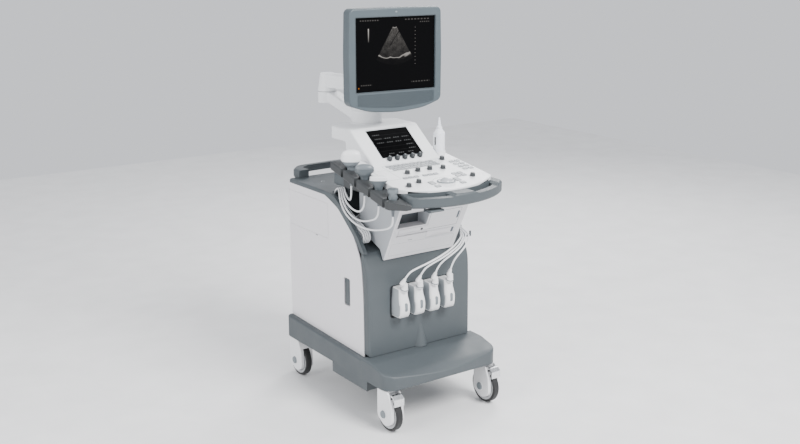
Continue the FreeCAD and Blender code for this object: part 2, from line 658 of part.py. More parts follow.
def console_tray():
    """Grey tray under the control panel, whose front is a grip bar behind two finger openings."""
    plan = bowed_front(BAR_CENTRE_Y, BAR_R, TRAY_RIGHT, TRAY_REAR, TRAY_LEFT)
    slab = plan.extrude(V(0, 0, TRAY_TOP - TRAY_BOTTOM))
    slab.translate(V(0, 0, TRAY_BOTTOM))
    slab = fillet_where(slab, 30.0, lambda m, e: abs(m.z - 807) < 1 and m.y < -200)
    slab = fillet_where(slab, 9.0, lambda m, e: abs(m.z - 807) > 20)
    for side in (-1, 1):
        slab = slab.cut(grip_slot(side))
        slab = slab.cut(grip_dip(side))
    cavity = bowed_front(PLATE_CENTRE_Y, PLATE_R - 8, 174, TRAY_REAR - 8).extrude(V(0, 0, 60))
    cavity.translate(V(0, 0, TRAY_BOTTOM + 5))
    slab = slab.cut(cavity)
    pivot = lever_pivot() - UP * 1.5
    for x in (LEVER[0] - 3.5, LEVER[1] + 0.5):
        lug = prism(rect(pivot.y - 4, pivot.y + 4, pivot.z - 4.5, TRAY_BOTTOM + 2, 2), "x", x, x + 3)
        slab = slab.fuse(lug)
    tray = fuse([slab, right_cable_hook(), left_cable_saddle()])
    return tray.cut(rod(2.06, pivot + ALONG_X * (LEVER[0] - 5), pivot + ALONG_X * (LEVER[1] + 5)))


def knob_places():
    """Panel positions (x, y, steep) of the thirteen rotary knobs."""
    places = [(-64 + 32 * i, -88.0, True) for i in range(5)]
    places += [(x, y, False) for x, y in ((-75, -209), (-25, -200), (25, -200), (75, -209))]
    places += [(-92, -298, False), (-146, -318, False), (132, -128, False), (124, -310, False)]
    return places


def knob_frame(x, y, steep):
    """Foot point and outward direction of a knob."""
    slope = HOOD_SLOPE if steep else PANEL_SLOPE
    height = hood_z(y) if steep else panel_z(y)
    return V(x, y, height), V(0, -math.sin(slope), math.cos(slope))


def knob(x, y, steep):
    """Ribbed rotary knob with a pointer line, on a shaft through the panel."""
    foot, out = knob_frame(x, y, steep)
    start = foot + out * 0.5
    grip = Part.makeCone(8.6, 7.4, 11.5, start, out)
    skirt = rod(9.4, start, start + out * 2.2)
    shaft = rod(2.5, foot - out * 7, start + out)
    pointer = rod(1.0, start + out * 11.3, start + out * 12.3)
    pointer.translate(V(0, 5.0 * out.z, -5.0 * out.y))
    return fuse([grip, skirt, shaft, pointer])


def key_places():
    """Centres and half sizes of the panel's keys."""
    keys = []
    for row in range(3):
        for col in range(12):
            keys.append((-99 + col * 16.5 + row * 3, -128 - row * 17.0, 6.6, 6.2))
    for row in range(4):
        for col in range(2):
            keys.append((150 + col * 24, -160 - row * 26.0, 9.0, 7.0))
    for col in range(6):
        keys.append((-108 + col * 22.0 + (14 if col > 2 else 0), -246, 8.5, 6.5))
    for side in (-1, 1):
        keys.append((side * 52, -318, 10.0, 13.0))
        keys.append((side * 52, -350, 10.0, 8.0))
    for row in range(2):
        for col in range(2):
            keys.append((78 + col * 24, -268 - row * 22.0, 9.0, 7.0))
    return keys


def key_prism(x, y, half_x, half_y, low, high, radius):
    """Rounded key standing square to the sloping panel, from low to high above its surface."""
    key = prism(rect(-half_x, half_x, -half_y, half_y, radius), "z", low, high)
    key.rotate(V(0, 0, 0), ALONG_X, math.degrees(PANEL_SLOPE))
    key.translate(V(x, y, panel_z(y)))
    return key


def keyboard_keys():
    """All the press keys of the control panel."""
    return Part.makeCompound([key_prism(*k, -1.0, 2.6, 2.0) for k in key_places()])


TRACK_Y = -326.0
BALL_R = 24.0


def trackball_centre():
    return V(0, TRACK_Y, panel_z(TRACK_Y) - 8)


def trackball():
    ball = Part.makeSphere(BALL_R, trackball_centre())
    axle = rod(1.5, trackball_centre() - V(26.5, 0, 0), trackball_centre() + V(26.5, 0, 0))
    return ball.fuse(axle).removeSplitter()


def touch_frame(offset):
    """Centre of the touch screen, moved along its outward normal."""
    y = -26.5
    out = V(0, -math.sin(HOOD_SLOPE), math.cos(HOOD_SLOPE))
    return V(0, y, hood_z(y)) + out * offset


def sloped_plate(half_x, half_v, thickness, offset, radius):
    """Rounded plate lying in the hood's slope."""
    plate = prism(rect(-half_x, half_x, -half_v, half_v, radius), "z", 0, thickness)
    plate.rotate(V(0, 0, 0), ALONG_X, math.degrees(HOOD_SLOPE))
    plate.translate(touch_frame(offset))
    return plate


def touch_screen():
    """Touch screen module set into the hood."""
    glass = sloped_plate(TOUCH_W / 2 + 5, TOUCH_H / 2 + 5, 3.0, -3.2, 3)
    module = sloped_plate(TOUCH_W / 2 + 1, TOUCH_H / 2 + 1, 8.0, -11.2, 2)
    return glass.fuse(module).removeSplitter()


BOTTLE = V(168, -64, 0)


def console_plate():
    """Sloping white plate under the keys."""
    plan = bowed_front(PLATE_CENTRE_Y, PLATE_R, PLATE_HALF, 30).extrude(V(0, 0, 120))
    plan.translate(V(0, 0, TRAY_TOP))
    plan = fillet_where(plan, 16.0, lambda m, e: abs(m.z - TRAY_TOP - 60) < 1)
    wedge = [(-420, TRAY_TOP), (-420, panel_z(-420)), (30, panel_z(30)), (30, TRAY_TOP)]
    plate = plan.common(prism(wedge, "x", -230, 230))
    plate = fillet_where(plate, 3.0, lambda m, e: m.z > panel_z(m.y) - 0.5 and m.y < 28)
    inner = [(-370, TRAY_TOP - 1), (-370, TRAY_TOP + 1), (-340, panel_z(-340) - 5), (22, panel_z(22) - 5),
             (22, TRAY_TOP - 1)]
    hollow = prism(inner, "x", -168, 168)
    return plate.cut(hollow)


def hood():
    """White hood behind the plate, which carries the touch screen and the monitor arm."""
    top_y = HOOD_FOOT_Y + (HOOD_TOP - panel_z(HOOD_FOOT_Y)) / math.tan(HOOD_SLOPE)
    side = [(HOOD_FOOT_Y - 4, TRAY_TOP), (HOOD_FOOT_Y, panel_z(HOOD_FOOT_Y), 20), (top_y, HOOD_TOP, 12),
            (HOOD_BACK_Y + 39, HOOD_TOP, 12), (HOOD_BACK_Y + 39, HOOD_TOP - 44, 8), (66, HOOD_TOP - 44, 10),
            (64, TRAY_TOP)]
    solid = prism(side, "x", -HOOD_HALF, HOOD_HALF)
    plan = [(-HOOD_HALF, -140), (HOOD_HALF, -140), (HOOD_HALF, HOOD_BACK_Y, 20), (60, HOOD_BACK_Y + 34, 40),
            (-60, HOOD_BACK_Y + 34, 40), (-HOOD_HALF, HOOD_BACK_Y, 20)]
    solid = solid.common(prism(plan, "z", 780, 1000))
    edge = HOOD_HALF - 1
    solid = fillet_where(solid, 7.0, lambda m, e: abs(m.x) > edge and m.z > hood_z(m.y) - 2 and m.y < top_y + 90)
    inner = [(HOOD_FOOT_Y + 14, TRAY_TOP - 1), (HOOD_FOOT_Y + 14, panel_z(HOOD_FOOT_Y) - 4),
             (top_y + 4, HOOD_TOP - 16), (HOOD_BACK_Y - 6, HOOD_TOP - 16), (HOOD_BACK_Y - 6, HOOD_TOP - 38),
             (58, HOOD_TOP - 38), (58, TRAY_TOP - 1)]
    return solid.cut(prism(inner, "x", -HOOD_HALF + 5, HOOD_HALF - 5))


def bottle_cup():
    """Low ring on the panel that holds the gel bottle, with a tall clip behind it."""
    foot = V(BOTTLE.x, BOTTLE.y, panel_z(BOTTLE.y) - 3)
    ring = rod(23.6, foot, foot + UP * 12)
    clip = prism(rect(BOTTLE.x - 9, BOTTLE.x + 9, BOTTLE.y + 21.2, BOTTLE.y + 24.5, 1.5), "z", foot.z, foot.z + 70)
    return ring.fuse(clip)


def console_top():
    """White upper moulding of the console: key plate, hood, bottle ring and arm boss."""
    ball_seat = rod(31, trackball_centre() + UP * 2, trackball_centre() + UP * 12.5)
    boss = rod(TURRET_R + 4, V(0, TURRET_Y, HOOD_TOP - 2), V(0, TURRET_Y, HOOD_TOP + 4))
    body = fuse([console_plate(), hood(), bottle_cup(), ball_seat, boss])
    seat = V(BOTTLE.x, BOTTLE.y, panel_z(BOTTLE.y) + 0.5)
    body = body.cut(rod(21.5, seat, seat + UP * 12))
    body = body.cut(Part.makeSphere(BALL_R + 0.6, trackball_centre()))
    body = body.cut(rod(1.9, trackball_centre() - V(27, 0, 0), trackball_centre() + V(27, 0, 0)))
    body = body.cut(box(-32, 32, TRACK_Y - 6, TRACK_Y + 6, TRAY_TOP - 2, trackball_centre().z + 1.6))
    body = body.cut(rod(10.2, V(0, TURRET_Y, HOOD_TOP - 30), V(0, TURRET_Y, HOOD_TOP + 6)))
    body = body.cut(sloped_plate(TOUCH_W / 2 + 5.4, TOUCH_H / 2 + 5.4, 6.0, -3.2, 3))
    body = body.cut(sloped_plate(TOUCH_W / 2 + 1.4, TOUCH_H / 2 + 1.4, 20.0, -20.0, 2))
    for x, y, steep in knob_places():
        foot, out = knob_frame(x, y, steep)
        body = body.cut(rod(2.8, foot - out * 14, foot + out))
    for k in key_places():
        body = body.cut(key_prism(k[0], k[1], k[2] + 0.5, k[3] + 0.5, -3.0, 3.0, 2.2))
    return body


def front_pod():
    """White housing under the console with the disc drive, an open bay and a small door."""
    side = [POD_FOOT + (6,), (-152, 594, 10), (-88, 617, 40), (POD_BACK, 651, 10), (POD_BACK, TRAY_BOTTOM),
            (pod_y(TRAY_BOTTOM), TRAY_BOTTOM)]
    solid = prism(side, "x", -POD_HALF, POD_HALF)
    solid = fillet_where(solid, 5.0, lambda m, e: abs(m.x) > POD_HALF - 1 and abs(m.y - pod_y(m.z)) < 8)
    inner = [(POD_FOOT[0] + 6, 562), (-148, 600), (-88, 622), (POD_BACK - 4, 656), (POD_BACK - 4, TRAY_BOTTOM + 1),
             (pod_y(TRAY_BOTTOM) + 5, TRAY_BOTTOM + 1)]
    shell = solid.cut(prism(inner, "x", -POD_HALF + 4, POD_HALF - 4))
    bay = prism([(pod_y(683) - 1, 683), (pod_y(738) - 1, 738), (-190, 738), (-190, 683)], "x", -136, -16)
    liner = prism([(pod_y(680) + 2, 680), (pod_y(741) + 2, 741), (-187, 741), (-187, 680)], "x", -139, -13)
    shell = shell.fuse(liner).cut(bay)
    drive = box(-125.6, -2.4, -300, -100, 651.4, 676.6)
    shelf = box(-128, 0, -225, -92, 648, 650)
    shell = shell.cut(drive)
    return fuse([shell, shelf])


def disc_tray():
    """Drawer of the disc drive: a leaning front bar and the flat tray behind it."""
    front = [(pod_y(652) - 1, 652), (pod_y(676) - 1, 676), (pod_y(676) + 9, 676), (pod_y(652) + 9, 652)]
    bar = prism(front, "x", -125, -3)
    tray = box(-122, -6, pod_y(664), -104, 655, 663)
    dish = rod(56, V(-64, -166, 660), V(-64, -166, 664))
    return bar.fuse(tray).cut(dish).removeSplitter()


def probe_holders():
    """Rail of four probe cups down the left side of the console."""
    y0 = -8.0
    y1 = -404.0
    t = HOLDER_T
    top = [(y0, holder_z(y0), 6), (-330, holder_z(-330), 60), (y1, 806, 10), (y1, 788, 8),
           (-330, holder_z(-330) - t, 60), (y0, holder_z(y0) - t, 6)]
    rail = prism(top, "x", HOLDER_OUT, HOLDER_IN)
    rail = fillet_where(rail, 5.0, lambda m, e: m.x < HOLDER_OUT + 1)
    corner = prism([(HOLDER_OUT - 1, y0 + 2), (HOLDER_OUT - 1, -352, 40), (-205, y1 - 1, 50), (-150, y1 - 1),
                    (-150, y0 + 2)], "z", 700, 1000)
    rail = rail.common(corner)
    rail = rail.cut(bowed_front(BAR_CENTRE_Y, BAR_R + 0.2, TRAY_RIGHT, 200, TRAY_LEFT).extrude(V(0, 0, 900)))
    for y in HOLDER_Y:
        axis = V(HOLDER_X, y, 700)
        rail = rail.cut(rod(CUP_R, axis, axis + UP * 300))
        rail = rail.cut(box(HOLDER_OUT - 2, HOLDER_X, y - 7, y + 7, 700, 1000))
    web = prism([(y0, holder_z(y0) - 4), (y1 + 60, 800), (y1 + 60, TRAY_BOTTOM + 8), (y0, TRAY_BOTTOM + 8)],
                "x", HOLDER_IN - 5, HOLDER_IN)
    rib = box(HOLDER_IN, TRAY_LEFT, -300, y0, TRAY_BOTTOM + 12, TRAY_BOTTOM + 30)
    return fuse([rail, web, rib])


def gel_bottle():
    """Squeeze bottle with a ribbed collar and a conical nozzle."""
    base = V(BOTTLE.x, BOTTLE.y, panel_z(BOTTLE.y) + 0.7)
    body = rod(20.5, base, base + UP * 74)
    body = fillet_where(body, 3.0, lambda m, e: e.Closed and m.z < base.z + 1)
    shoulder_cone = Part.makeCone(20.5, 10, 14, base + UP * 74, UP)
    collar = rod(11, base + UP * 86, base + UP * 94)
    nozzle = Part.makeCone(8, 2.2, 34, base + UP * 94, UP)
    return fuse([body, shoulder_cone, collar, nozzle])


LEVER = (-130.0, -76.0)


def lever_pivot():
    return V(0, -386, 778.5)


def height_lever():
    """Release lever for the console height, squeezed up under the grip bar."""
    x0, x1 = LEVER
    pivot = lever_pivot()
    paddle = prism([(pivot.y + 4, 774.5, 2), (pivot.y + 4, 779.5, 2), (-414, 780, 3), (-420, 775, 3),
                    (-410, 771, 5)], "x", x0, x1)
    pin = rod(2.0, V(x0 - 3, pivot.y, pivot.z - 1.5), V(x1 + 3, pivot.y, pivot.z - 1.5))
    return paddle.fuse(pin)


# ---------------------------------------------------------------- monitor and arm

def elbow_turn():
    """Plan direction of the lower arm, in degrees from +X."""
    return math.degrees(math.atan2(ELBOW[1] - TURRET_Y, ELBOW[0]))


def lower_arm():
    """Turret on the hood and the sloping beam that rises to the elbow."""
    turret = rod(TURRET_R, V(0, TURRET_Y, HOOD_TOP + 4.4), V(0, TURRET_Y, HOOD_TOP + 48))
    turret = fillet_where(turret, 8.0, lambda m, e: m.z > HOOD_TOP + 47)
    pin = rod(10, V(0, TURRET_Y, HOOD_TOP - 26), V(0, TURRET_Y, HOOD_TOP + 5))
    run = math.hypot(ELBOW[0], ELBOW[1] - TURRET_Y)
    side = [(0, HOOD_TOP + 10), (0, HOOD_TOP + 46), (40, HOOD_TOP + 48, 40), (run - 34, ELBOW_TOP, 50),
            (run, ELBOW_TOP), (run, ELBOW_TOP - 40), (run - 30, ELBOW_TOP - 40, 50), (52, HOOD_TOP + 10, 30)]
    beam = prism(side, "y", -29, 29)
    beam = fillet_where(beam, 6.0, lambda m, e: abs(m.y) > 28 and 20 < m.x < run - 20 and e.Length > 20)
    beam.rotate(V(0, 0, 0), UP, elbow_turn())
    beam.translate(V(0, TURRET_Y, 0))
    elbow = rod(ELBOW_R, V(ELBOW[0], ELBOW[1], ELBOW_TOP - 40), V(ELBOW[0], ELBOW[1], ELBOW_TOP))
    post = rod(13, V(ELBOW[0], ELBOW[1], ELBOW_TOP), V(ELBOW[0], ELBOW[1], ARM_BOTTOM + 26))
    return fuse([turret, pin, beam, elbow, post])


def upper_arm():
    """Level box beam from the elbow to the monitor yoke."""
    reach = V(YOKE_X - ELBOW[0], YOKE_Y - ELBOW[1], 0)
    run = reach.Length
    plan = [(0, -27), (run + 27, -27, 26), (run + 27, 27, 26), (0, 27)]
    beam = prism(plan, "z", ARM_BOTTOM, ARM_TOP)
    beam = fillet_where(beam, 7.0, lambda m, e: m.z > ARM_TOP - 1 and m.x > 1)
    knuckle = Part.makeCone(ELBOW_R, 27, ARM_TOP - ELBOW_TOP - 2, V(0, 0, ELBOW_TOP + 2), UP)
    beam = beam.fuse(knuckle).cut(rod(13.1, V(0, 0, ELBOW_TOP), V(0, 0, ARM_BOTTOM + 28)))
    beam = beam.cut(rod(12.1, V(run, 0, ARM_BOTTOM + 16), V(run, 0, ARM_TOP + 1)))
    beam.rotate(V(0, 0, 0), UP, math.degrees(math.atan2(reach.y, reach.x)))
    beam.translate(V(ELBOW[0], ELBOW[1], 0))
    return beam.removeSplitter()


def swing(shape):
    """Set a monitor piece on its yoke, turned from straight ahead to its resting swivel."""
    turned = shape.copy()
    turned.rotate(V(0, YOKE_Y, 0), UP, MONITOR_SWIVEL)
    turned.translate(V(YOKE_X, 0, 0))
    return turned


def monitor_yoke():
    """Upright fork that carries the monitor on its tilt pin."""
    pin = rod(12, V(0, YOKE_Y, ARM_BOTTOM + 17), V(0, YOKE_Y, ARM_TOP + 2))
    post = rod(19, V(0, YOKE_Y, ARM_TOP + 0.4), V(0, YOKE_Y, 1222))
    post = fillet_where(post, 5.0, lambda m, e: m.z > 1221)
    bridge = box(-28, 28, YOKE_Y - 8, YOKE_Y + 8, 1176, 1216)
    forks = [prism(rect(TILT_Y - 11, YOKE_Y + 6, 1182, 1218, 9), "x", s * 25 - 3.5, s * 25 + 3.5) for s in (-1, 1)]
    axle = rod(5, V(-28, TILT_Y, TILT_Z), V(28, TILT_Y, TILT_Z))
    return swing(fuse([pin, post, bridge, axle] + forks))


def monitor_outline(inset):
    """Outline of the monitor: rounded top corners and a bowed chin."""
    half = BEZEL_HALF - inset
    top = MONITOR_Z + BEZEL_TOP - inset
    side_foot = MONITOR_Z + BEZEL_SIDE_FOOT + inset
    foot = MONITOR_Z + BEZEL_FOOT + inset
    return [(-half, side_foot, 24), (-110, foot + 6, 250), (0, foot - 3, 500), (110, foot + 6, 250),
            (half, side_foot, 24), (half + 1, MONITOR_Z, 900), (half - 3, top, 18), (0, top + 2, 900),
            (-half + 3, top, 18), (-half - 1, MONITOR_Z, 900)]


def monitor_bezel():
    """Blue-grey front frame of the monitor."""
    y = MONITOR_FRONT
    solid = prism(monitor_outline(0), "y", y, y + BEZEL_DEPTH)
    solid = fillet_where(solid, 5.0, lambda m, e: m.y < y + 0.5)
    cavity = prism(monitor_outline(5), "y", y + 12, y + BEZEL_DEPTH + 1)
    window = prism(rounded_rect(SCREEN_W / 2, MONITOR_Z - SCREEN_H / 2, MONITOR_Z + SCREEN_H / 2, 2), "y",
                   y - 1, y + 13)
    return swing(solid.cut(cavity.fuse(window)))


def monitor_screen():
    """Display panel behind the window of the bezel."""
    y = MONITOR_FRONT
    glass = prism(rounded_rect(SCREEN_W / 2 - 0.4, MONITOR_Z - SCREEN_H / 2 + 0.4,
                               MONITOR_Z + SCREEN_H / 2 - 0.4, 1.6), "y", y + 6, y + 12)
    panel = prism(rounded_rect(SCREEN_W / 2 + 10, MONITOR_Z - SCREEN_H / 2 - 10,
                               MONITOR_Z + SCREEN_H / 2 + 10, 4), "y", y + 12, y + 26)
    return swing(glass.fuse(panel).removeSplitter())


def monitor_back():
    """Rear shell of the monitor, crowned, with louvres and the tilt hinge lug."""
    y = MONITOR_FRONT + BEZEL_DEPTH
    rim = prism(monitor_outline(5.2), "y", y - 3, y + 4)
    deep = MONITOR_FRONT + MONITOR_DEPTH
    base = section(monitor_outline(8), "y", y + 4).OuterWire
    crown = section([(a * 0.74, MONITOR_Z - 8 + (b - MONITOR_Z) * 0.72, (r[0] if r else 0) * 0.7)
                     for a, b, *r in monitor_outline(8)], "y", deep).OuterWire
    dome = Part.makeLoft([base, crown], True, True)
    shell = rim.fuse(dome)
    hollow = prism(rounded_rect(120, MONITOR_Z - 110, MONITOR_Z + 90, 20), "y", y - 4, deep - 4)
    shell = shell.cut(hollow)
    for row in range(6):
        z = MONITOR_Z + 34 + row * 9
        shell = shell.cut(prism(rounded_rect(80, z, z + 4, 1.9), "y", deep - 6, deep + 1))
    lug = prism([(deep - 5, TILT_Z - 11.5), (TILT_Y + 11, TILT_Z - 11.5, 11.4), (TILT_Y + 11, TILT_Z + 11.5, 11.4),
                 (deep - 5, TILT_Z + 11.5)], "x", -21, 21)
    shell = shell.fuse(lug)
    shell = shell.cut(rod(5.08, V(-30, TILT_Y, TILT_Z), V(30, TILT_Y, TILT_Z)))
    return swing(shell.removeSplitter())


# ---------------------------------------------------------------- probes

PROBE_TURN = -35.0
PROBES = {
    "probe_convex": {"head": (34.0, 17.0), "rise": 40.0, "dome": 19.0},
    "probe_abdominal": {"head": (32.0, 15.0), "rise": 28.0, "dome": 15.0},
    "probe_linear": {"head": (29.0, 12.0), "rise": 32.0, "dome": 5.0},
    "probe_small": {"head": (18.0, 12.5), "rise": 28.0, "dome": 3.0},
}


def ellipse_wire(centre, half_x, half_y):
    major = max(half_x, half_y)
    minor = min(half_x, half_y)
    ellipse = Part.Ellipse(V(0, 0, 0), major, minor)
    wire = Part.Wire(ellipse.toShape())
    if half_y > half_x:
        wire.rotate(V(0, 0, 0), UP, 90)
    wire.translate(centre)
    return wire


def probe(index):
    """Ultrasound probe hanging head up in its cup, with a tapered strain relief below."""
    shape = list(PROBES.values())[index]
    y = HOLDER_Y[index]
    seat = holder_z(y) + 4.0
    wide, thick = shape["head"]
    rise = shape["rise"]
    levels = [(-34.0, 9.0, 9.0), (-12.0, 12.5, 11.5), (0.0, 15.5, 13.5)]
    grip = Part.makeLoft([ellipse_wire(V(HOLDER_X, y, seat + z), a, b) for z, a, b in levels], True, False)
    neck = [(0.0, 15.5, 13.5), (9.0, wide * 0.72, thick + 1.5), (rise * 0.62, wide, thick + 1.5),
            (rise, wide, thick)]
    head = Part.makeLoft([ellipse_wire(V(HOLDER_X, y, seat + z), a, b) for z, a, b in neck], True, False)
    dome = Part.makeLoft([ellipse_wire(V(HOLDER_X, y, seat + rise + z), wide * k, thick * k)
                          for z, k in ((0.0, 1.0), (shape["dome"] * 0.55, 0.86), (shape["dome"], 0.45))],
                         True, False)
    relief = Part.makeCone(6.4, CABLE_R + 0.9, 30.0, V(HOLDER_X, y, seat - 34), V(0, 0, -1))
    whole = fuse([grip, head, dome, relief])
    whole.rotate(V(HOLDER_X, y, 0), UP, PROBE_TURN)
    return whole


def relief_end(index):
    y = HOLDER_Y[index]
    return V(HOLDER_X, y, holder_z(y) + 4.0 - 64.0 - 0.3)


# ---------------------------------------------------------------- cables

def cord_tube(name, points):
    """Cable as straight runs joined by tangent arcs as large as the runs allow."""
    edges = []
    radii = []
    last = points[0]
    for i in range(1, len(points) - 1):
        to_before = points[i - 1] - points[i]
        to_after = points[i + 1] - points[i]
        run = min(to_before.Length, to_after.Length)
        to_before.normalize()
        to_after.normalize()
        half_open = to_before.getAngle(to_after) / 2
        half_turn = math.pi / 2 - half_open
        back = 0.45 * run
        radius = back / math.tan(half_turn)
        radii.append(radius)
        start = points[i] + to_before * back
        end = points[i] + to_after * back
        inward = (to_before + to_after).normalize()
        middle = points[i] + inward * (radius / math.sin(half_open) - radius)
        edges.append(Part.LineSegment(last, start).toShape())
        edges.append(Part.Arc(start, middle, end).toShape())
        last = end
    edges.append(Part.LineSegment(last, points[-1]).toShape())
    path = Part.Wire(edges)
    direction = points[1] - points[0]
    circle = Part.Wire(Part.Circle(points[0], direction, CABLE_R).toShape())
    tube = path.makePipeShell([circle], True, True)
    expected = math.pi * CABLE_R * CABLE_R * path.Length
    print(name, "length", round(path.Length), "volume ratio", round(tube.Volume / expected, 4))
    print("   arc radii", " ".join(str(round(r)) for r in radii))
    return tube


# From each plug up to the right hook.
CLIMBS = (
    ((-58, -241, 532), (-12, -250, 547), (40, -251, 563), (92, -244, 580), (137, -226, 597)),
    ((4, -243, 538), (46, -250, 554), (92, -247, 571), (139, -234, 588)),
    ((62, -243, 544), (95, -248, 562), (135, -241, 580), (165, -222, 596)),
    ((116, -243, 548), (138, -247, 569), (166, -237, 587), (186, -219, 600)),
)

# From the saddle down into a loop and up to each probe: (x, y, z).
LOOPS = (
    ((-182, 15, 771), (-192, -16, 758), (-202, -46, 753), (-212, -71, 764), (-217, -83, 785)),
    ((-191, 12, 768), (-204, -26, 744), (-208, -72, 728), (-211, -117, 727), (-215, -149, 743),
     (-217, -165, 770)),
    ((-199, 10, 768), (-209, -14, 744), (-214, -52, 716), (-214, -100, 700), (-214, -152, 702),
     (-216, -202, 717), (-217, -230, 728), (-217, -248, 750)),
    ((-207, 10, 768), (-217, -12, 741), (-221, -48, 710), (-221, -96, 689), (-221, -155, 682),
     (-219, -214, 686), (-217, -266, 698), (-216, -307, 712), (-217, -330, 731)),
)


def cable_route(index):
    """Route of one probe cable: plug, right hook, behind the pod, left saddle, loop, probe."""
    i = index
    x = CONNECTOR_X[i]
    start = V(x, BOOT_TOP.y, BOOT_TOP.z)
    lane = -170.5 - 8 * i
    points = [start, start + boot_axis(x) * 24]
    points += [V(*p) for p in CLIMBS[i]]
    points += [V(HOOK_X + 9.6 * i, HOOK_Y, HOOK_Z), V(169 + 8.8 * i, -172, 616 + i),
               V(170 + 7 * i, -132, 629 + 3 * i), V(171 + 5 * i, -88, 642 + 5.5 * i),
               V(174 + 3 * i, -38, 656 + 8 * i), V(126, 2, 662 + 8.5 * i), V(70, -14, 661 + 8.5 * i),
               V(0, -18, 660 + 8.5 * i), V(-70, -14, 661 + 8.5 * i), V(-126, 2, 662 + 8.5 * i),
               V(-168 - 4 * i, -32, 650 + 7.5 * i), V(-170 - 7 * i, -80, 627 + 3 * i)]
    points += [V(lane, y, z) for y, z in ((-102, 611), (-119, 617.5), (-126, 634), (-119, 651), (-95, 659.5),
                                          (-55, 675), (-14, 693), (20, 714), (58, 740), (58, 767), (36, 781))]
    points += [V(*p) for p in LOOPS[i]]
    return points + [relief_end(i)]


def main():
    os.makedirs("parts", exist_ok=True)
    for place_name, (x, y) in caster_positions().items():
        export("caster_hood_" + place_name, caster_hood(x, y, y < 0))
        export("wheel_" + place_name, caster_wheel(x, y))
        if y < 0:
            export("brake_pedal_" + place_name, brake_pedal(x, y))
    export("chassis", chassis())
    export("base_skirt", base_skirt())
    export("footrest", footrest())
    left = side_panel()
    export("left_side_panel", left)
    export("right_side_panel", mirror_x(left))
    export("front_panel", front_panel())
    export("rear_panel", rear_panel())
    export("top_deck", top_deck())
    export("probe_connectors", probe_connectors())
    export("power_supply", power_supply())
    export("electronics_rack", electronics_rack())
    export("cooling_fan", cooling_fan())
    export("lift_column", lift_column())
    export("console_tray", console_tray())
    export("console_top", console_top())
    export("touch_screen", touch_screen())
    export("front_pod", front_pod())
    export("disc_tray", disc_tray())
    export("probe_holders", probe_holders())
    export("gel_bottle", gel_bottle())
    export("height_lever", height_lever())
    export("keyboard_keys", keyboard_keys())
    export("trackball", trackball())
    for i, spot in enumerate(knob_places()):
        export("knob_%02d" % (i + 1), knob(*spot))
    export("lower_arm", lower_arm())
    export("upper_arm", upper_arm())
    export("monitor_yoke", monitor_yoke())
    export("monitor_bezel", monitor_bezel())
    export("monitor_screen", monitor_screen())
    export("monitor_back", monitor_back())
    for i, name in enumerate(PROBES):
        cable = "probe_cable_%d" % (i + 1)
        export(name, probe(i))
        export(cable, cord_tube(cable, cable_route(i)))


main()
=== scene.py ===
import math

import bpy
from mathutils import Matrix, Vector


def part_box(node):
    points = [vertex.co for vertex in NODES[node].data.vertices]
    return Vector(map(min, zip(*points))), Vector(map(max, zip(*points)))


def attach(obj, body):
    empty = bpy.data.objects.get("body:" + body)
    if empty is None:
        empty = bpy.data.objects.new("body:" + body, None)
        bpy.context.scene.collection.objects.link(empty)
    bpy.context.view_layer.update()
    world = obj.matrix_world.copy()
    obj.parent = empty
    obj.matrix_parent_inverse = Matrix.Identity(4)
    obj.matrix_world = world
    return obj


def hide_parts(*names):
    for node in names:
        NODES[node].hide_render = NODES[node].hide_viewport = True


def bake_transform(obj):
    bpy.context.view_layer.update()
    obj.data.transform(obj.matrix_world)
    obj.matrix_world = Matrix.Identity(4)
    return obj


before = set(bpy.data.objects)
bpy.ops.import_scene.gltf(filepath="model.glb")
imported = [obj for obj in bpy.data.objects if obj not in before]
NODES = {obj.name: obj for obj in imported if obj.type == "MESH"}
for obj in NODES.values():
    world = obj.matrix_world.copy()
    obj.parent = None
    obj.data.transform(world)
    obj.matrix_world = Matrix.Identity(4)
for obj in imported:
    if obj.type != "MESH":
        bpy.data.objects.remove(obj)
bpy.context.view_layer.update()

MM = 0.001
CASTERS = ("front_left", "front_right", "rear_left", "rear_right")

# Places shared by the pieces, in millimetres and degrees
PLATE_TILT = math.radians(8.0)
PLATE_MARK = (-200.0, 860.0)
HOOD_TILT = math.radians(36.3)
HOOD_FOOT_Y = -104.0
POD_FOOT = (-172.0, 552.0)
POD_LEAN = 0.5
POD_OUT = Vector((0.0, -0.894, -0.447))
MONITOR_TURN = -5.0
MONITOR_CENTRE = Vector((6.0, 70.0, 1240.0))
BEZEL_FRONT = 115.0
DECK_TOP = 762.0
SIDE_FACE = 218.0
HOLDER_X = -217.0
HOLDER_Y = (-83.0, -165.0, -248.0, -330.0)
HOLDER_TILT = math.radians(12.8)
PROBE_SEAT = 896.0
SLEEVE_LENGTH = 64.3
BALL_Y = -326.0

# ---------------------------------------------------------------- camera, lights, floor

CAMERA_AT = Vector((-2.1227, -3.0805, 1.6171))
CAMERA_AIM = Vector((0.0, -0.0605, 0.6486))
LENS_MM = 48.43


def add_camera():
    data = bpy.data.cameras.new("camera")
    data.lens = LENS_MM
    data.sensor_width = 36.0
    camera = bpy.data.objects.new("camera", data)
    camera.location = CAMERA_AT
    camera.rotation_euler = (CAMERA_AIM - CAMERA_AT).to_track_quat("-Z", "Y").to_euler()
    bpy.context.collection.objects.link(camera)
    bpy.context.scene.camera = camera


# name, place, aim, width in metres, power in watts
LIGHTS = (
    ("key_light", (0.6, -3.1, 3.5), (0.0, 0.0, 0.7), 1.9, 300),
    ("fill_light", (-3.4, -0.5, 2.0), (0.0, 0.0, 0.6), 2.2, 85),
    ("rim_light", (2.4, 1.8, 2.8), (0.0, 0.0, 0.8), 2.0, 90),
)
WORLD_COLOR = (0.93, 0.95, 1.0, 1)
WORLD_STRENGTH = 0.95
FLOOR_SIZE = 9.0


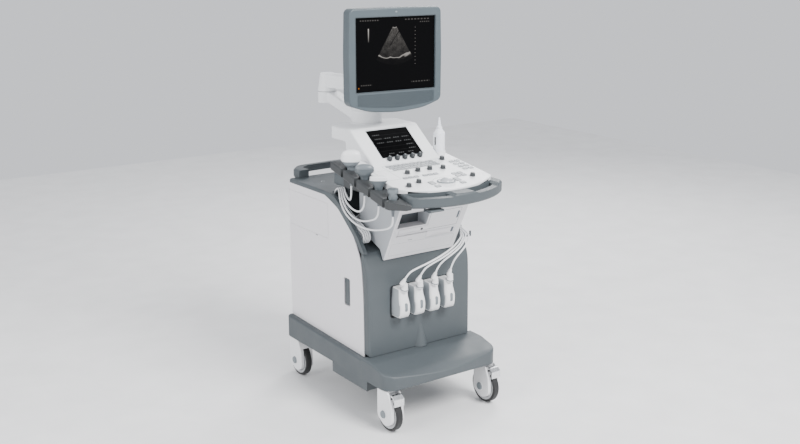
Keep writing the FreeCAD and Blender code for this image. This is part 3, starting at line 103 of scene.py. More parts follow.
def add_area_light(name, location, aim, size, power):
    data = bpy.data.lights.new(name, "AREA")
    data.shape = "DISK"
    data.size = size
    data.energy = power
    light = bpy.data.objects.new(name, data)
    light.location = location
    light.rotation_euler = (Vector(aim) - Vector(location)).to_track_quat("-Z", "Y").to_euler()
    bpy.context.collection.objects.link(light)


def add_studio():
    """Plain pale floor, an even pale surround and three large soft lights."""
    world = bpy.context.scene.world or bpy.data.worlds.new("studio")
    bpy.context.scene.world = world
    world.use_nodes = True
    background = world.node_tree.nodes["Background"]
    background.inputs["Color"].default_value = WORLD_COLOR
    background.inputs["Strength"].default_value = WORLD_STRENGTH
    for light in LIGHTS:
        add_area_light(*light)
    floor = add_floor("studio_floor", FLOOR_SIZE / 2)
    paint_job = solid_surface("studio_floor_paint", (0.82, 0.82, 0.82), 0.75, grain=0.004, bump=0.0001)
    floor.data.materials.append(paint_job)


def add_floor(name, half):
    mesh = bpy.data.meshes.new(name)
    corners = [(-half, -half, 0.0), (half, -half, 0.0), (half, half, 0.0), (-half, half, 0.0)]
    mesh.from_pydata(corners, [], [(0, 1, 2, 3)])
    obj = bpy.data.objects.new(name, mesh)
    bpy.context.collection.objects.link(obj)
    return obj


# ---------------------------------------------------------------- materials

class Graph:
    """Short names for building a node tree."""

    def __init__(self, name):
        self.material = bpy.data.materials.new(name)
        self.material.use_nodes = True
        self.tree = self.material.node_tree
        self.shader = self.tree.nodes["Principled BSDF"]

    def node(self, kind, **settings):
        made = self.tree.nodes.new(kind)
        for key, value in settings.items():
            setattr(made, key, value)
        return made

    def link(self, source, target):
        if isinstance(source, (int, float, tuple)):
            target.default_value = source
        else:
            self.tree.links.new(source, target)

    def math(self, operation, a, b=0.0, c=0.0, clamp=False):
        made = self.node("ShaderNodeMath", operation=operation, use_clamp=clamp)
        for socket, value in zip(made.inputs, (a, b, c)):
            self.link(value, socket)
        return made.outputs[0]

    def place(self):
        return self.node("ShaderNodeTexCoord").outputs["Object"]

    def noise(self, scale, detail=2.0, rough=0.5, vector=None):
        made = self.node("ShaderNodeTexNoise")
        made.inputs["Scale"].default_value = scale
        made.inputs["Detail"].default_value = detail
        made.inputs["Roughness"].default_value = rough
        self.link(vector or self.place(), made.inputs["Vector"])
        return made.outputs["Fac"]

    def mix(self, amount, a, b):
        made = self.node("ShaderNodeMix", data_type="RGBA")
        self.link(amount, made.inputs["Factor"])
        self.link(a, made.inputs["A"])
        self.link(b, made.inputs["B"])
        return made.outputs["Result"]

    def remap(self, value, low, high, to_low, to_high, smooth=False):
        made = self.node("ShaderNodeMapRange", interpolation_type="SMOOTHSTEP" if smooth else "LINEAR")
        self.link(value, made.inputs["Value"])
        for key, number in (("From Min", low), ("From Max", high), ("To Min", to_low), ("To Max", to_high)):
            made.inputs[key].default_value = number
        return made.outputs["Result"]

    def bump(self, height, distance, strength=1.0, under=None):
        made = self.node("ShaderNodeBump")
        made.inputs["Strength"].default_value = strength
        made.inputs["Distance"].default_value = distance
        self.link(height, made.inputs["Height"])
        if under is not None:
            self.link(under, made.inputs["Normal"])
        return made.outputs["Normal"]

    def soft_edges(self, radius):
        made = self.node("ShaderNodeBevel", samples=4)
        made.inputs["Radius"].default_value = radius
        return made.outputs["Normal"]


def shade(color, factor):
    return tuple(min(1.0, c * factor) for c in color[:3]) + (1.0,)


def solid_surface(name, color, rough, grain=0.0012, bump=0.00006, metal=0.0, coat=0.0, blotch=0.04, edge=0.0,
                  sheen=0.0, specular=0.5):
    """Moulded or painted surface: mottled colour, fine grain, rubbed edges and uneven gloss."""
    g = Graph(name)
    broad = g.noise(6.0, 3.0)
    fine = g.noise(1.0 / grain, 3.0, 0.6)
    dark = shade(color, 1.0 - blotch)
    light = shade(color, 1.0 + blotch)
    tone = g.mix(g.remap(broad, 0.3, 0.7, 0.0, 1.0), dark, light)
    tone = g.mix(g.remap(fine, 0.35, 0.65, 0.0, 0.35), tone, shade(color, 0.93))
    normal = None
    if edge > 0.0:
        normal = g.soft_edges(edge)
        flat = g.node("ShaderNodeNewGeometry").outputs["Normal"]
        along = g.node("ShaderNodeVectorMath", operation="DOT_PRODUCT")
        g.link(normal, along.inputs[0])
        g.link(flat, along.inputs[1])
        worn = g.math("MULTIPLY", g.remap(along.outputs["Value"], 0.985, 0.9, 0.0, 0.3), g.noise(140.0, 2.0))
        tone = g.mix(worn, tone, shade(color, 1.35))
    g.link(tone, g.shader.inputs["Base Color"])
    g.link(g.remap(g.noise(18.0, 4.0), 0.3, 0.7, rough - 0.05, rough + 0.06), g.shader.inputs["Roughness"])
    g.link(g.bump(fine, bump, under=normal), g.shader.inputs["Normal"])
    g.shader.inputs["Metallic"].default_value = metal
    g.shader.inputs["Coat Weight"].default_value = coat
    g.shader.inputs["Coat Roughness"].default_value = 0.18
    g.shader.inputs["Specular IOR Level"].default_value = specular
    g.shader.inputs["Sheen Weight"].default_value = sheen
    return g.material


def brushed_steel(name, color, rough, stretch):
    """Metal with fine scratches drawn out along one axis."""
    g = Graph(name)
    mapping = g.node("ShaderNodeMapping")
    mapping.inputs["Scale"].default_value = stretch
    g.link(g.place(), mapping.inputs["Vector"])
    lines = g.noise(300.0, 4.0, 0.6, mapping.outputs["Vector"])
    g.link(g.mix(g.remap(lines, 0.35, 0.65, 0.0, 1.0), shade(color, 0.82), shade(color, 1.08)),
           g.shader.inputs["Base Color"])
    g.link(g.remap(lines, 0.3, 0.7, rough - 0.06, rough + 0.08), g.shader.inputs["Roughness"])
    g.link(g.bump(lines, 0.00003), g.shader.inputs["Normal"])
    g.shader.inputs["Metallic"].default_value = 1.0
    return g.material


def screen_surface(name, picture):
    """Dark glass whose picture is drawn by the given function, as light behind the gloss."""
    g = Graph(name)
    g.shader.inputs["Base Color"].default_value = (0.002, 0.002, 0.0022, 1)
    g.link(g.remap(g.noise(40.0, 3.0), 0.3, 0.7, 0.12, 0.2), g.shader.inputs["Roughness"])
    g.shader.inputs["Specular IOR Level"].default_value = 0.035
    g.link(picture(g), g.shader.inputs["Emission Color"])
    g.shader.inputs["Emission Strength"].default_value = 1.0
    return g.material


def planar(g, origin, across, up, width, height):
    """Coordinates 0..1 across and down a flat screen, from object space."""
    from_centre = g.node("ShaderNodeVectorMath", operation="SUBTRACT")
    g.link(g.place(), from_centre.inputs[0])
    from_centre.inputs[1].default_value = origin
    out = []
    for axis, span, sign in ((across, width, 1.0), (up, height, -1.0)):
        dot = g.node("ShaderNodeVectorMath", operation="DOT_PRODUCT")
        g.link(from_centre.outputs["Vector"], dot.inputs[0])
        dot.inputs[1].default_value = axis
        out.append(g.math("MULTIPLY_ADD", dot.outputs["Value"], sign / span, 0.5))
    return out


def inside(g, value, low, high, soft=0.004):
    """1 between low and high, fading over a short edge."""
    rise = g.remap(value, low - soft, low + soft, 0.0, 1.0, smooth=True)
    fall = g.remap(value, high - soft, high + soft, 1.0, 0.0, smooth=True)
    return g.math("MULTIPLY", rise, fall)


def rectangle(g, u, v, u0, u1, v0, v1, soft=0.003):
    return g.math("MULTIPLY", inside(g, u, u0, u1, soft), inside(g, v, v0, v1, soft))


def total(g, parts):
    result = parts[0]
    for part in parts[1:]:
        result = g.math("ADD", result, part)
    return result


def dashes(g, u, v, u0, u1, v0, v1, pitch, duty=0.6):
    """A row of short dashes, as small as lines of text but with no letters in it."""
    wave = g.math("FRACT", g.math("DIVIDE", u, pitch))
    return g.math("MULTIPLY", g.math("LESS_THAN", wave, duty), rectangle(g, u, v, u0, u1, v0, v1))


SCAN_APEX = (0.49, 0.087)
SCAN_HALF_ANGLE = math.radians(31.0)
SCAN_NEAR = 0.055
SCAN_FAR = 0.56
SCREEN_ASPECT = 1.248


def scan_picture(g, u, v):
    """Grey sector of speckle with layered tissue, a bright curved wall and an oblique vessel."""
    x = g.math("MULTIPLY", g.math("SUBTRACT", u, SCAN_APEX[0]), SCREEN_ASPECT)
    y = g.math("SUBTRACT", v, SCAN_APEX[1])
    angle = g.math("ARCTAN2", x, y)
    reach = g.math("SQRT", g.math("ADD", g.math("MULTIPLY", x, x), g.math("MULTIPLY", y, y)))
    frayed = g.math("ADD", angle, g.math("MULTIPLY", g.math("SUBTRACT", g.noise(26.0, 2.0), 0.5), 0.05))
    fan = g.math("MULTIPLY", inside(g, frayed, -SCAN_HALF_ANGLE, SCAN_HALF_ANGLE, 0.012),
                 inside(g, reach, SCAN_NEAR, SCAN_FAR, 0.004))
    polar = g.node("ShaderNodeCombineXYZ")
    g.link(g.math("MULTIPLY", angle, 1.4), polar.inputs["X"])
    g.link(g.math("MULTIPLY", reach, 5.0), polar.inputs["Y"])
    where = polar.outputs["Vector"]
    speckle = g.math("POWER", g.remap(g.noise(55.0, 3.0, 0.7, where), 0.25, 0.75, 0.0, 1.0), 1.6)
    tissue = g.remap(g.noise(3.2, 3.0, 0.6, where), 0.3, 0.7, 0.25, 1.0)
    depth = g.remap(reach, SCAN_NEAR, 0.45, 1.0, 0.3)
    body = g.math("MULTIPLY", g.math("MULTIPLY", speckle, tissue), depth)
    wobble = g.math("MULTIPLY", g.math("SUBTRACT", g.noise(1.9, 1.0, 0.5, where), 0.5), 0.16)
    bow = g.math("MULTIPLY", g.math("MULTIPLY", angle, angle), -0.06)
    wall_at = g.math("ADD", reach, g.math("ADD", wobble, bow))
    wall = inside(g, wall_at, 0.452, 0.468, 0.007)
    past = g.remap(wall_at, 0.46, 0.5, 1.0, 0.12)
    vessel_line = g.math("ADD", g.math("MULTIPLY", x, 0.8), g.math("MULTIPLY", g.math("SUBTRACT", y, 0.2), 0.6))
    vessel = g.math("MULTIPLY", inside(g, vessel_line, -0.006, 0.006, 0.005), inside(g, y, 0.1, 0.31, 0.02))
    clear = g.math("SUBTRACT", 1.0, g.math("MULTIPLY", vessel, 0.85))
    skin = inside(g, reach, SCAN_NEAR, SCAN_NEAR + 0.012, 0.003)
    lit = g.math("ADD", g.math("MULTIPLY", g.math("MULTIPLY", body, clear), past), g.math("MULTIPLY", wall, 0.9))
    lit = g.math("ADD", lit, g.math("MULTIPLY", skin, 0.5))
    return g.math("MULTIPLY", g.math("MULTIPLY", fan, lit), 0.42)


def main_picture(g):
    low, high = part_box("monitor_screen")
    turn = math.radians(MONITOR_TURN)
    across = (math.cos(turn), math.sin(turn), 0.0)
    centre = tuple((a + b) / 2 for a, b in zip(low, high))
    u, v = planar(g, centre, across, (0.0, 0.0, 1.0), 0.312, 0.250)
    scan = scan_picture(g, u, v)
    ramp = g.math("MULTIPLY", rectangle(g, u, v, 0.158, 0.17, 0.15, 0.33), g.remap(v, 0.15, 0.33, 0.7, 0.05))
    marks = [dashes(g, u, v, 0.06, 0.3, 0.035, 0.05, 0.03), dashes(g, u, v, 0.62, 0.93, 0.035, 0.05, 0.041),
             dashes(g, u, v, 0.8, 0.93, 0.075, 0.088, 0.027), dashes(g, u, v, 0.7, 0.94, 0.89, 0.905, 0.036),
             dashes(g, u, v, 0.06, 0.2, 0.9, 0.914, 0.022)]
    ruler = g.math("MULTIPLY", g.math("LESS_THAN", g.math("FRACT", g.math("DIVIDE", v, 0.05)), 0.12),
                   inside(g, u, 0.745, 0.755, 0.001))
    ruler = g.math("MULTIPLY", ruler, inside(g, v, 0.14, 0.66, 0.002))
    grey = total(g, [scan, ramp, g.math("MULTIPLY", total(g, marks), 0.1), g.math("MULTIPLY", ruler, 0.25)])
    amber = rectangle(g, u, v, 0.036, 0.046, 0.935, 0.952)
    border = g.math("SUBTRACT", 1.0, rectangle(g, u, v, 0.012, 0.988, 0.015, 0.985))
    tone = g.mix(grey, (0.0008, 0.0008, 0.001, 1), (1.0, 0.94, 0.88, 1))
    tone = g.mix(amber, tone, (0.8, 0.25, 0.02, 1))
    return g.mix(border, tone, (0.0, 0.0, 0.0, 1))


def touch_picture(g):
    low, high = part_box("touch_screen")
    centre = tuple((a + b) / 2 for a, b in zip(low, high))
    up = (0.0, math.cos(HOOD_TILT), math.sin(HOOD_TILT))
    u, v = planar(g, centre, (1.0, 0.0, 0.0), up, 0.162, 0.122)
    rows = []
    for column, row in ((0, 0), (0, 1), (0, 2), (2, 1), (3, 1), (2, 2), (3, 2), (3, 3), (3, 4), (1, 1), (1, 2)):
        u0 = 0.07 + column * 0.235
        v0 = 0.13 + row * 0.155
        rows.append(dashes(g, u, v, u0, u0 + 0.17, v0, v0 + 0.035, 0.055))
    for column in range(3):
        u0 = 0.2 + column * 0.24
        rows.append(dashes(g, u, v, u0, u0 + 0.15, 0.88, 0.915, 0.05))
    cells = g.math("LESS_THAN", g.math("ABSOLUTE", g.math("SUBTRACT", g.math("FRACT", g.math(
        "MULTIPLY_ADD", v, 6.45, -0.55)), 0.5)), 0.04)
    cells = g.math("MULTIPLY", cells, rectangle(g, u, v, 0.04, 0.96, 0.1, 0.82))
    grey = g.math("ADD", g.math("MULTIPLY", total(g, rows), 0.14), g.math("MULTIPLY", cells, 0.015))
    return g.mix(grey, (0.0008, 0.0008, 0.001, 1), (0.9, 0.93, 0.95, 1))


GREY = (0.062, 0.074, 0.081)
PALETTE = {}


def make_palette():
    p = PALETTE
    p["grey"] = solid_surface("blue_grey_moulding", GREY, 0.5, bump=0.00008, edge=0.0012)
    p["bezel"] = solid_surface("bezel_moulding", (0.064, 0.084, 0.096), 0.42, bump=0.00005, edge=0.001)
    p["white"] = solid_surface("white_moulding", (0.80, 0.81, 0.82), 0.42, bump=0.00004, blotch=0.02, edge=0.001)
    p["side"] = solid_surface("side_cover_paint", (0.74, 0.72, 0.74), 0.5, bump=0.00004, blotch=0.02, edge=0.001)
    p["pod"] = solid_surface("pod_moulding", (0.71, 0.70, 0.715), 0.45, bump=0.00004, blotch=0.02, edge=0.001)
    # The pod's flank colour is its moulding painted greyer, as painted shade on its side faces.
    p["pod_flank_shade"] = solid_surface("pod_flank_painted_shade", (0.4, 0.42, 0.445), 0.45, bump=0.00004, blotch=0.02)
    p["holder"] = solid_surface("holder_moulding", (0.033, 0.036, 0.038), 0.45, bump=0.00008, edge=0.001)
    p["knob"] = solid_surface("knob_moulding", (0.028, 0.032, 0.035), 0.4, bump=0.00004, edge=0.0006)
    p["key"] = solid_surface("key_moulding", (0.3, 0.315, 0.33), 0.45, grain=0.0008, bump=0.00002, edge=0.0005)
    p["key_dark"] = solid_surface("key_dark_moulding", (0.06, 0.068, 0.075), 0.45, grain=0.0008, bump=0.00002,
                                  edge=0.0005)
    p["ball"] = solid_surface("trackball_resin", (0.42, 0.44, 0.46), 0.12, bump=0.0, coat=0.6)
    p["probe_white"] = solid_surface("probe_white_shell", (0.76, 0.77, 0.78), 0.3, bump=0.00002, coat=0.15)
    p["probe_grey"] = solid_surface("probe_grey_shell", (0.085, 0.1, 0.11), 0.35, bump=0.00002, coat=0.15)
    p["probe_pale"] = solid_surface("probe_pale_shell", (0.14, 0.16, 0.175), 0.35, bump=0.00002, coat=0.15)
    # Plug sides: the shell colour painted grey, as painted shade.
    p["plug_side"] = solid_surface("plug_side_shell", (0.36, 0.39, 0.41), 0.42, bump=0.00003)
    p["cable"] = solid_surface("cable_jacket", (0.78, 0.79, 0.8), 0.38, grain=0.0006, bump=0.00002, sheen=0.1)
    p["connector"] = solid_surface("connector_shell", (0.80, 0.80, 0.8), 0.38, bump=0.00003, edge=0.0008)
    p["tyre"] = solid_surface("tyre_rubber", (0.012, 0.012, 0.013), 0.7, grain=0.0009, bump=0.00012, sheen=0.1)
    p["hub"] = solid_surface("wheel_hub_plastic", (0.5, 0.51, 0.52), 0.45, edge=0.0006)
    p["caster"] = solid_surface("caster_hood_paint", (0.78, 0.78, 0.79), 0.4, bump=0.00004, edge=0.0008)
    p["chrome"] = brushed_steel("pedal_chrome", (0.78, 0.79, 0.8), 0.16, (1.0, 0.06, 1.0))
    p["steel"] = brushed_steel("column_steel", (0.5, 0.51, 0.52), 0.32, (1.0, 1.0, 0.04))
    p["frame"] = solid_surface("frame_powder_coat", (0.05, 0.055, 0.06), 0.6, bump=0.00015, edge=0.0008)
    p["sheet"] = brushed_steel("zinc_sheet", (0.6, 0.61, 0.62), 0.4, (0.05, 1.0, 1.0))
    p["board"] = solid_surface("circuit_board", (0.02, 0.12, 0.05), 0.5, bump=0.0002, blotch=0.3)
    p["black"] = solid_surface("black_moulding", (0.016, 0.017, 0.018), 0.5, bump=0.00004)
    p["dark"] = solid_surface("bay_shadow_moulding", (0.03, 0.034, 0.038), 0.6, bump=0.00006)
    # Dark sheet for the gaps between the monitor ribs: painted shade.
    p["rib_gap_shade"] = solid_surface("rib_gap_painted_shade", (0.03, 0.04, 0.047), 0.6, bump=0.0)
    p["bottle"] = solid_surface("bottle_polythene", (0.8, 0.82, 0.86), 0.25, bump=0.00002, coat=0.2)
    shader = p["bottle"].node_tree.nodes["Principled BSDF"]
    shader.inputs["Subsurface Weight"].default_value = 0.25
    shader.inputs["Subsurface Radius"].default_value = (0.01, 0.01, 0.012)
    p["mark_blue"] = solid_surface("mark_blue_grey", (0.06, 0.08, 0.1), 0.4, bump=0.0)
    p["mark_grey"] = solid_surface("mark_grey_moulding", (0.17, 0.195, 0.21), 0.4, bump=0.00002)
    p["light_line"] = solid_surface("light_line_paint", (0.36, 0.39, 0.41), 0.4, bump=0.0)
    p["screen"] = screen_surface("main_screen_glass", main_picture)
    p["touch"] = screen_surface("touch_screen_glass", touch_picture)


def paint(node, *names):
    """Give a CAD node its materials, in place of the plain one."""
    mesh = NODES[node].data
    mesh.materials.clear()
    for name in names:
        mesh.materials.append(PALETTE[name])


def smooth_nodes():
    """Rounded CAD surfaces shade smoothly; real edges stay sharp."""
    for obj in NODES.values():
        obj.data.shade_smooth()
        obj.data.set_sharp_from_angle(angle=math.radians(32))


def paint_nodes():
    for name in ("base_skirt", "footrest", "top_deck", "console_tray", "height_lever"):
        paint(name, "grey")
    paint("front_panel", "grey", "dark")
    darken_recess()
    for name in ("monitor_bezel", "monitor_back"):
        paint(name, "bezel")
    for name in ("left_side_panel", "right_side_panel", "rear_panel"):
        paint(name, "side")
    for name in ("console_top", "lower_arm", "upper_arm", "monitor_yoke"):
        paint(name, "white")
    paint("front_pod", "pod", "pod_flank_shade", "grey")
    shade_pod()
    paint("disc_tray", "pod")
    for i in range(13):
        paint("knob_%02d" % (i + 1), "knob")
    paint("probe_holders", "holder")
    paint("keyboard_keys", "key", "key_dark")
    paint("trackball", "ball")
    paint("gel_bottle", "bottle")
    paint("monitor_screen", "screen")
    paint("touch_screen", "touch")
    paint("chassis", "frame")
    paint("lift_column", "steel")
    paint("power_supply", "sheet")
    paint("electronics_rack", "sheet", "board")
    paint("cooling_fan", "black")
    for caster in CASTERS:
        paint("caster_hood_" + caster, "caster", "mark_grey")
        paint("wheel_" + caster, "tyre", "hub")
        split_round_axle("wheel_" + caster, "wheel_" + caster, 0.0539, 0.0)
        split_round_axle("caster_hood_" + caster, "wheel_" + caster, 0.0155, 0.0262)
    paint("brake_pedal_front_left", "chrome")
    paint("brake_pedal_front_right", "chrome")


def split_round_axle(node, wheel, radius, beyond):
    """Faces near the axle, and at least this far out along it, take the second material."""
    low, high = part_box(wheel)
    axle = [(a + b) / 2 for a, b in zip(low, high)]
    mesh = NODES[node].data
    for face in mesh.polygons:
        corners = [mesh.vertices[v].co for v in face.vertices]
        reach = max(math.hypot(c[1] - axle[1], c[2] - axle[2]) for c in corners)
        out = min(abs(c[0] - axle[0]) for c in corners)
        face.material_index = 1 if reach < radius and out >= beyond else 0


def shade_pod():
    """The pod's flanks take a greyer copy of its moulding as painted shade, and its open bay is lined in grey."""
    mesh = NODES["front_pod"].data
    for face in mesh.polygons:
        corners = [mesh.vertices[v].co / MM for v in face.vertices]
        across = all(abs(c[0] + 76) < 63 and 677 < c[2] < 744 for c in corners)
        in_bay = across and all(c[1] > POD_FOOT[0] + 1 - (c[2] - POD_FOOT[1]) * POD_LEAN for c in corners)
        # Faces turned sideways take the greyer flank material: painted shade.
        flank = abs(face.normal[0]) > 0.75
        face.material_index = 2 if in_bay else 1 if flank else 0


def darken_recess():
    """The hollow behind the probe plugs is painted darker than the panel round it: painted shade."""
    mesh = NODES["front_panel"].data
    for face in mesh.polygons:
        corners = [mesh.vertices[v].co for v in face.vertices]
        held = all(abs(c[0]) < 0.1305 and 0.3495 < c[2] < 0.4665 and c[1] > -0.19 for c in corners)
        face.material_index = 1 if held else 0


# ---------------------------------------------------------------- mesh helpers

def make_object(name, verts, faces, material, smooth_angle=40.0):
    mesh = bpy.data.meshes.new(name)
    mesh.from_pydata([tuple(v) for v in verts], [], faces)
    mesh.validate()
    mesh.update()
    mesh.shade_smooth()
    mesh.set_sharp_from_angle(angle=math.radians(smooth_angle))
    mesh.materials.append(PALETTE[material])
    obj = bpy.data.objects.new(name, mesh)
    bpy.context.collection.objects.link(obj)
    return obj


def ring_faces(rings, count, closed_start=True, closed_end=True):
    faces = []
    for r in range(rings - 1):
        for i in range(count):
            a = r * count + i
            b = r * count + (i + 1) % count
            faces.append((a, b, b + count, a + count))
    if closed_start:
        faces.append(tuple(reversed(range(count))))
    if closed_end:
        faces.append(tuple(range((rings - 1) * count, rings * count)))
    return faces


def basis(direction):
    """Two unit vectors square to a direction."""
    axis = Vector(direction).normalized()
    helper = Vector((0, 0, 1)) if abs(axis.z) < 0.9 else Vector((1, 0, 0))
    side = axis.cross(helper).normalized()
    return axis, side, axis.cross(side).normalized()


def lathe(name, profile, origin, direction, material, count=48):
    """Round piece from (radius, height) pairs in mm along a direction."""
    axis, side, other = basis(direction)
    verts = []
    for radius, height in profile:
        for i in range(count):
            turn = 2 * math.pi * i / count
            verts.append(Vector(origin) + axis * (height * MM) + side * (radius * MM * math.cos(turn))
                         + other * (radius * MM * math.sin(turn)))
    return make_object(name, verts, ring_faces(len(profile), count), material)


def tube(name, points, radius, material, count=12):
    """Round tube that follows the points, without twisting."""
    points = [Vector(p) for p in points]
    tangents = []
    for i in range(len(points)):
        ahead = points[min(i + 1, len(points) - 1)]
        behind = points[max(i - 1, 0)]
        tangents.append((ahead - behind).normalized())
    side = basis(tangents[0])[1]
    verts = []
    for point, tangent in zip(points, tangents):
        side = (side - tangent * side.dot(tangent)).normalized()
        other = tangent.cross(side)
        for i in range(count):
            turn = 2 * math.pi * i / count
            verts.append(point + (side * math.cos(turn) + other * math.sin(turn)) * radius)
    return make_object(name, verts, ring_faces(len(points), count), material, 60.0)


# ---------------------------------------------------------------- probe cables

CABLE_RADIUS = 0.0032
CONNECTOR_X = (-98.0, -33.0, 32.0, 97.0)
BOOT_TOP = (-231.0, 500.0)
HOOK = (170.0, -200.0, 607.0)
PROBES = ("probe_convex", "probe_abdominal", "probe_linear", "probe_small")
CLIMBS = (
    ((-58, -241, 532), (-12, -250, 547), (40, -251, 563), (92, -244, 580), (137, -226, 597)),
    ((4, -243, 538), (46, -250, 554), (92, -247, 571), (139, -234, 588)),
    ((62, -243, 544), (95, -248, 562), (135, -241, 580), (165, -222, 596)),
    ((116, -243, 548), (138, -247, 569), (166, -237, 587), (186, -219, 600)),
)
LOOPS = (
    ((-182, 15, 771), (-192, -16, 758), (-202, -46, 753), (-212, -71, 764), (-217, -83, 785)),
    ((-191, 12, 768), (-204, -26, 744), (-208, -72, 728), (-211, -117, 727), (-215, -149, 743),
     (-217, -165, 770)),
    ((-199, 10, 768), (-209, -14, 744), (-214, -52, 716), (-214, -100, 700), (-214, -152, 702),
     (-216, -202, 717), (-217, -230, 728), (-217, -248, 750)),
    ((-207, 10, 768), (-217, -12, 741), (-221, -48, 710), (-221, -96, 689), (-221, -155, 682),
     (-219, -214, 686), (-217, -266, 698), (-216, -307, 712), (-217, -330, 731)),
)
SADDLE_TOP = (45.0, 778.0)


def boot_axis(x):
    """Direction in which a plug's cable leaves it."""
    return Vector((0.45 - x * 0.0022, -0.16, 1)).normalized()


def probe_seat(index):
    """Height at which a probe's neck meets its cup, on the rail that falls towards the front."""
    return PROBE_SEAT + HOLDER_Y[index] * math.tan(HOLDER_TILT)


def relief_end(index):
    y = HOLDER_Y[index]
    return (HOLDER_X, y, probe_seat(index) - SLEEVE_LENGTH)


def cable_route(index):
    """Route of one cable in metres: plug, right hook, behind the pod, left saddle, loop, probe."""
    i = index
    start = Vector((CONNECTOR_X[i], BOOT_TOP[0], BOOT_TOP[1]))
    lane = -170.5 - 8 * i
    points = [start, start + boot_axis(start.x) * 24]
    points += CLIMBS[i]
    points += [(HOOK[0] + 9.6 * i, HOOK[1], HOOK[2]), (169 + 8.8 * i, -172, 616 + i),
               (170 + 7 * i, -132, 629 + 3 * i), (171 + 5 * i, -88, 642 + 5.5 * i),
               (174 + 3 * i, -38, 656 + 8 * i), (126, 2, 662 + 8.5 * i), (70, -14, 661 + 8.5 * i),
               (0, -18, 660 + 8.5 * i), (-70, -14, 661 + 8.5 * i), (-126, 2, 662 + 8.5 * i),
               (-168 - 4 * i, -32, 650 + 7.5 * i), (-170 - 7 * i, -80, 627 + 3 * i)]
    points += [(lane, y, z) for y, z in ((-102, 611), (-119, 617.5), (-126, 634), (-119, 651), (-95, 659.5),
                                         (-55, 675), (-14, 693), (20, 714), (58, 740), (58, 767), (36, 781))]
    points += LOOPS[i]
    points.append(relief_end(i))
    return [Vector(p) * MM for p in points]


def smooth_line(name, points):
    """Points along the NURBS line whose control points are the route."""
    curve = bpy.data.curves.new(name, "CURVE")
    curve.dimensions = "3D"
    curve.resolution_u = 10
    spline = curve.splines.new("NURBS")
    spline.points.add(len(points) - 1)
    for target, point in zip(spline.points, points):
        target.co = (point.x, point.y, point.z, 1.0)
    spline.order_u = 3
    spline.use_endpoint_u = True
    obj = bpy.data.objects.new(name, curve)
    bpy.context.collection.objects.link(obj)
    bpy.context.view_layer.update()
    mesh = bpy.data.meshes.new_from_object(obj)
    line = [v.co.copy() for v in mesh.vertices]
    bpy.data.meshes.remove(mesh)
    bpy.data.objects.remove(obj)
    bpy.data.curves.remove(curve)
    return line


def add_cables():
    """Each cable is two tubes that meet on the saddle: plug to saddle, and saddle to probe."""
    for i, probe in enumerate(PROBES):
        node = "probe_cable_%d" % (i + 1)
        line = smooth_line("route_%d" % (i + 1), cable_route(i))
        saddle = Vector((-0.1705 - 0.008 * i, SADDLE_TOP[0] * MM, SADDLE_TOP[1] * MM))
        meet = min(range(len(line)), key=lambda k: (line[k] - saddle).length)
        front = line[:meet + 1]
        loop = line[meet:]
        lead = tube("cable_lead_%d" % (i + 1), front, CABLE_RADIUS, "cable")
        hang = tube("cable_loop_%d" % (i + 1), loop, CABLE_RADIUS, "cable")
        for piece in (lead, hang):
            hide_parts(node)
        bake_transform(lead)
        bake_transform(hang)


# ---------------------------------------------------------------- detail pieces

def rounded_outline(half_a, half_b, radius, steps=5):
    """Corner points of a rounded rectangle, in mm."""
    points = []
    for corner, (sa, sb) in enumerate(((1, 1), (-1, 1), (-1, -1), (1, -1))):
        for k in range(steps + 1):
            turn = math.radians(90 * corner + 90 * k / steps)
            points.append((sa * (half_a - radius) + radius * math.cos(turn),
                           sb * (half_b - radius) + radius * math.sin(turn)))
    return points


def lift_outline(name, outline, frame_of, low, high, material, crown=0.0, round_off=0.6):
    """Plate over an outline, with a softened upper edge. frame_of turns (a, b, height) in mm into a point."""
    count = len(outline)
    centre_a = sum(p[0] for p in outline) / count
    centre_b = sum(p[1] for p in outline) / count
    narrow = min(max(abs(p[0] - centre_a) for p in outline), max(abs(p[1] - centre_b) for p in outline))
    cut = min(round_off, narrow * 0.6)
    levels = ((0.0, low), (0.0, high - cut), (cut * 0.3, high - cut * 0.3), (cut, high))
    verts = []
    for inset, height in levels:
        for a, b in outline:
            away = max(1e-6, math.hypot(a - centre_a, b - centre_b))
            keep = 1.0 - inset / away
            verts.append(frame_of(centre_a + (a - centre_a) * keep, centre_b + (b - centre_b) * keep, height))
    faces = ring_faces(len(levels), count, closed_start=True, closed_end=False)
    last = (len(levels) - 1) * count
    verts.append(frame_of(centre_a, centre_b, high + crown))
    faces += [(last + i, last + (i + 1) % count, len(verts) - 1) for i in range(count)]
    return make_object(name, verts, faces, material, 50.0)


def on_pod(a, b, height):
    """Point on the pod's leaning face: a across, b as height above the floor, height out of the face."""
    y = POD_FOOT[0] - (b - POD_FOOT[1]) * POD_LEAN
    return Vector((a, y, b)) * MM + POD_OUT * (height * MM)


def panel_height(y):
    return PLATE_MARK[1] + (y - PLATE_MARK[0]) * math.tan(PLATE_TILT)


def on_plate(a, b, height):
    """Point on the key plate: a across, b along Y, height above it."""
    out = Vector((0.0, -math.sin(PLATE_TILT), math.cos(PLATE_TILT)))
    return Vector((a, b, panel_height(b))) * MM + out * (height * MM)


def on_hood(a, b, height):
    z = panel_height(HOOD_FOOT_Y) + (b - HOOD_FOOT_Y) * math.tan(HOOD_TILT)
    out = Vector((0.0, -math.sin(HOOD_TILT), math.cos(HOOD_TILT)))
    return Vector((a, b, z)) * MM + out * (height * MM)


def on_bezel(a, b, height):
    """Point on the monitor's front: a across, b above its middle, height out of the face."""
    turn = Matrix.Rotation(math.radians(MONITOR_TURN), 3, "Z")
    return (turn @ Vector((a, -BEZEL_FRONT - height, b)) + MONITOR_CENTRE) * MM


def shifted(outline, a, b):
    return [(p[0] + a, p[1] + b) for p in outline]


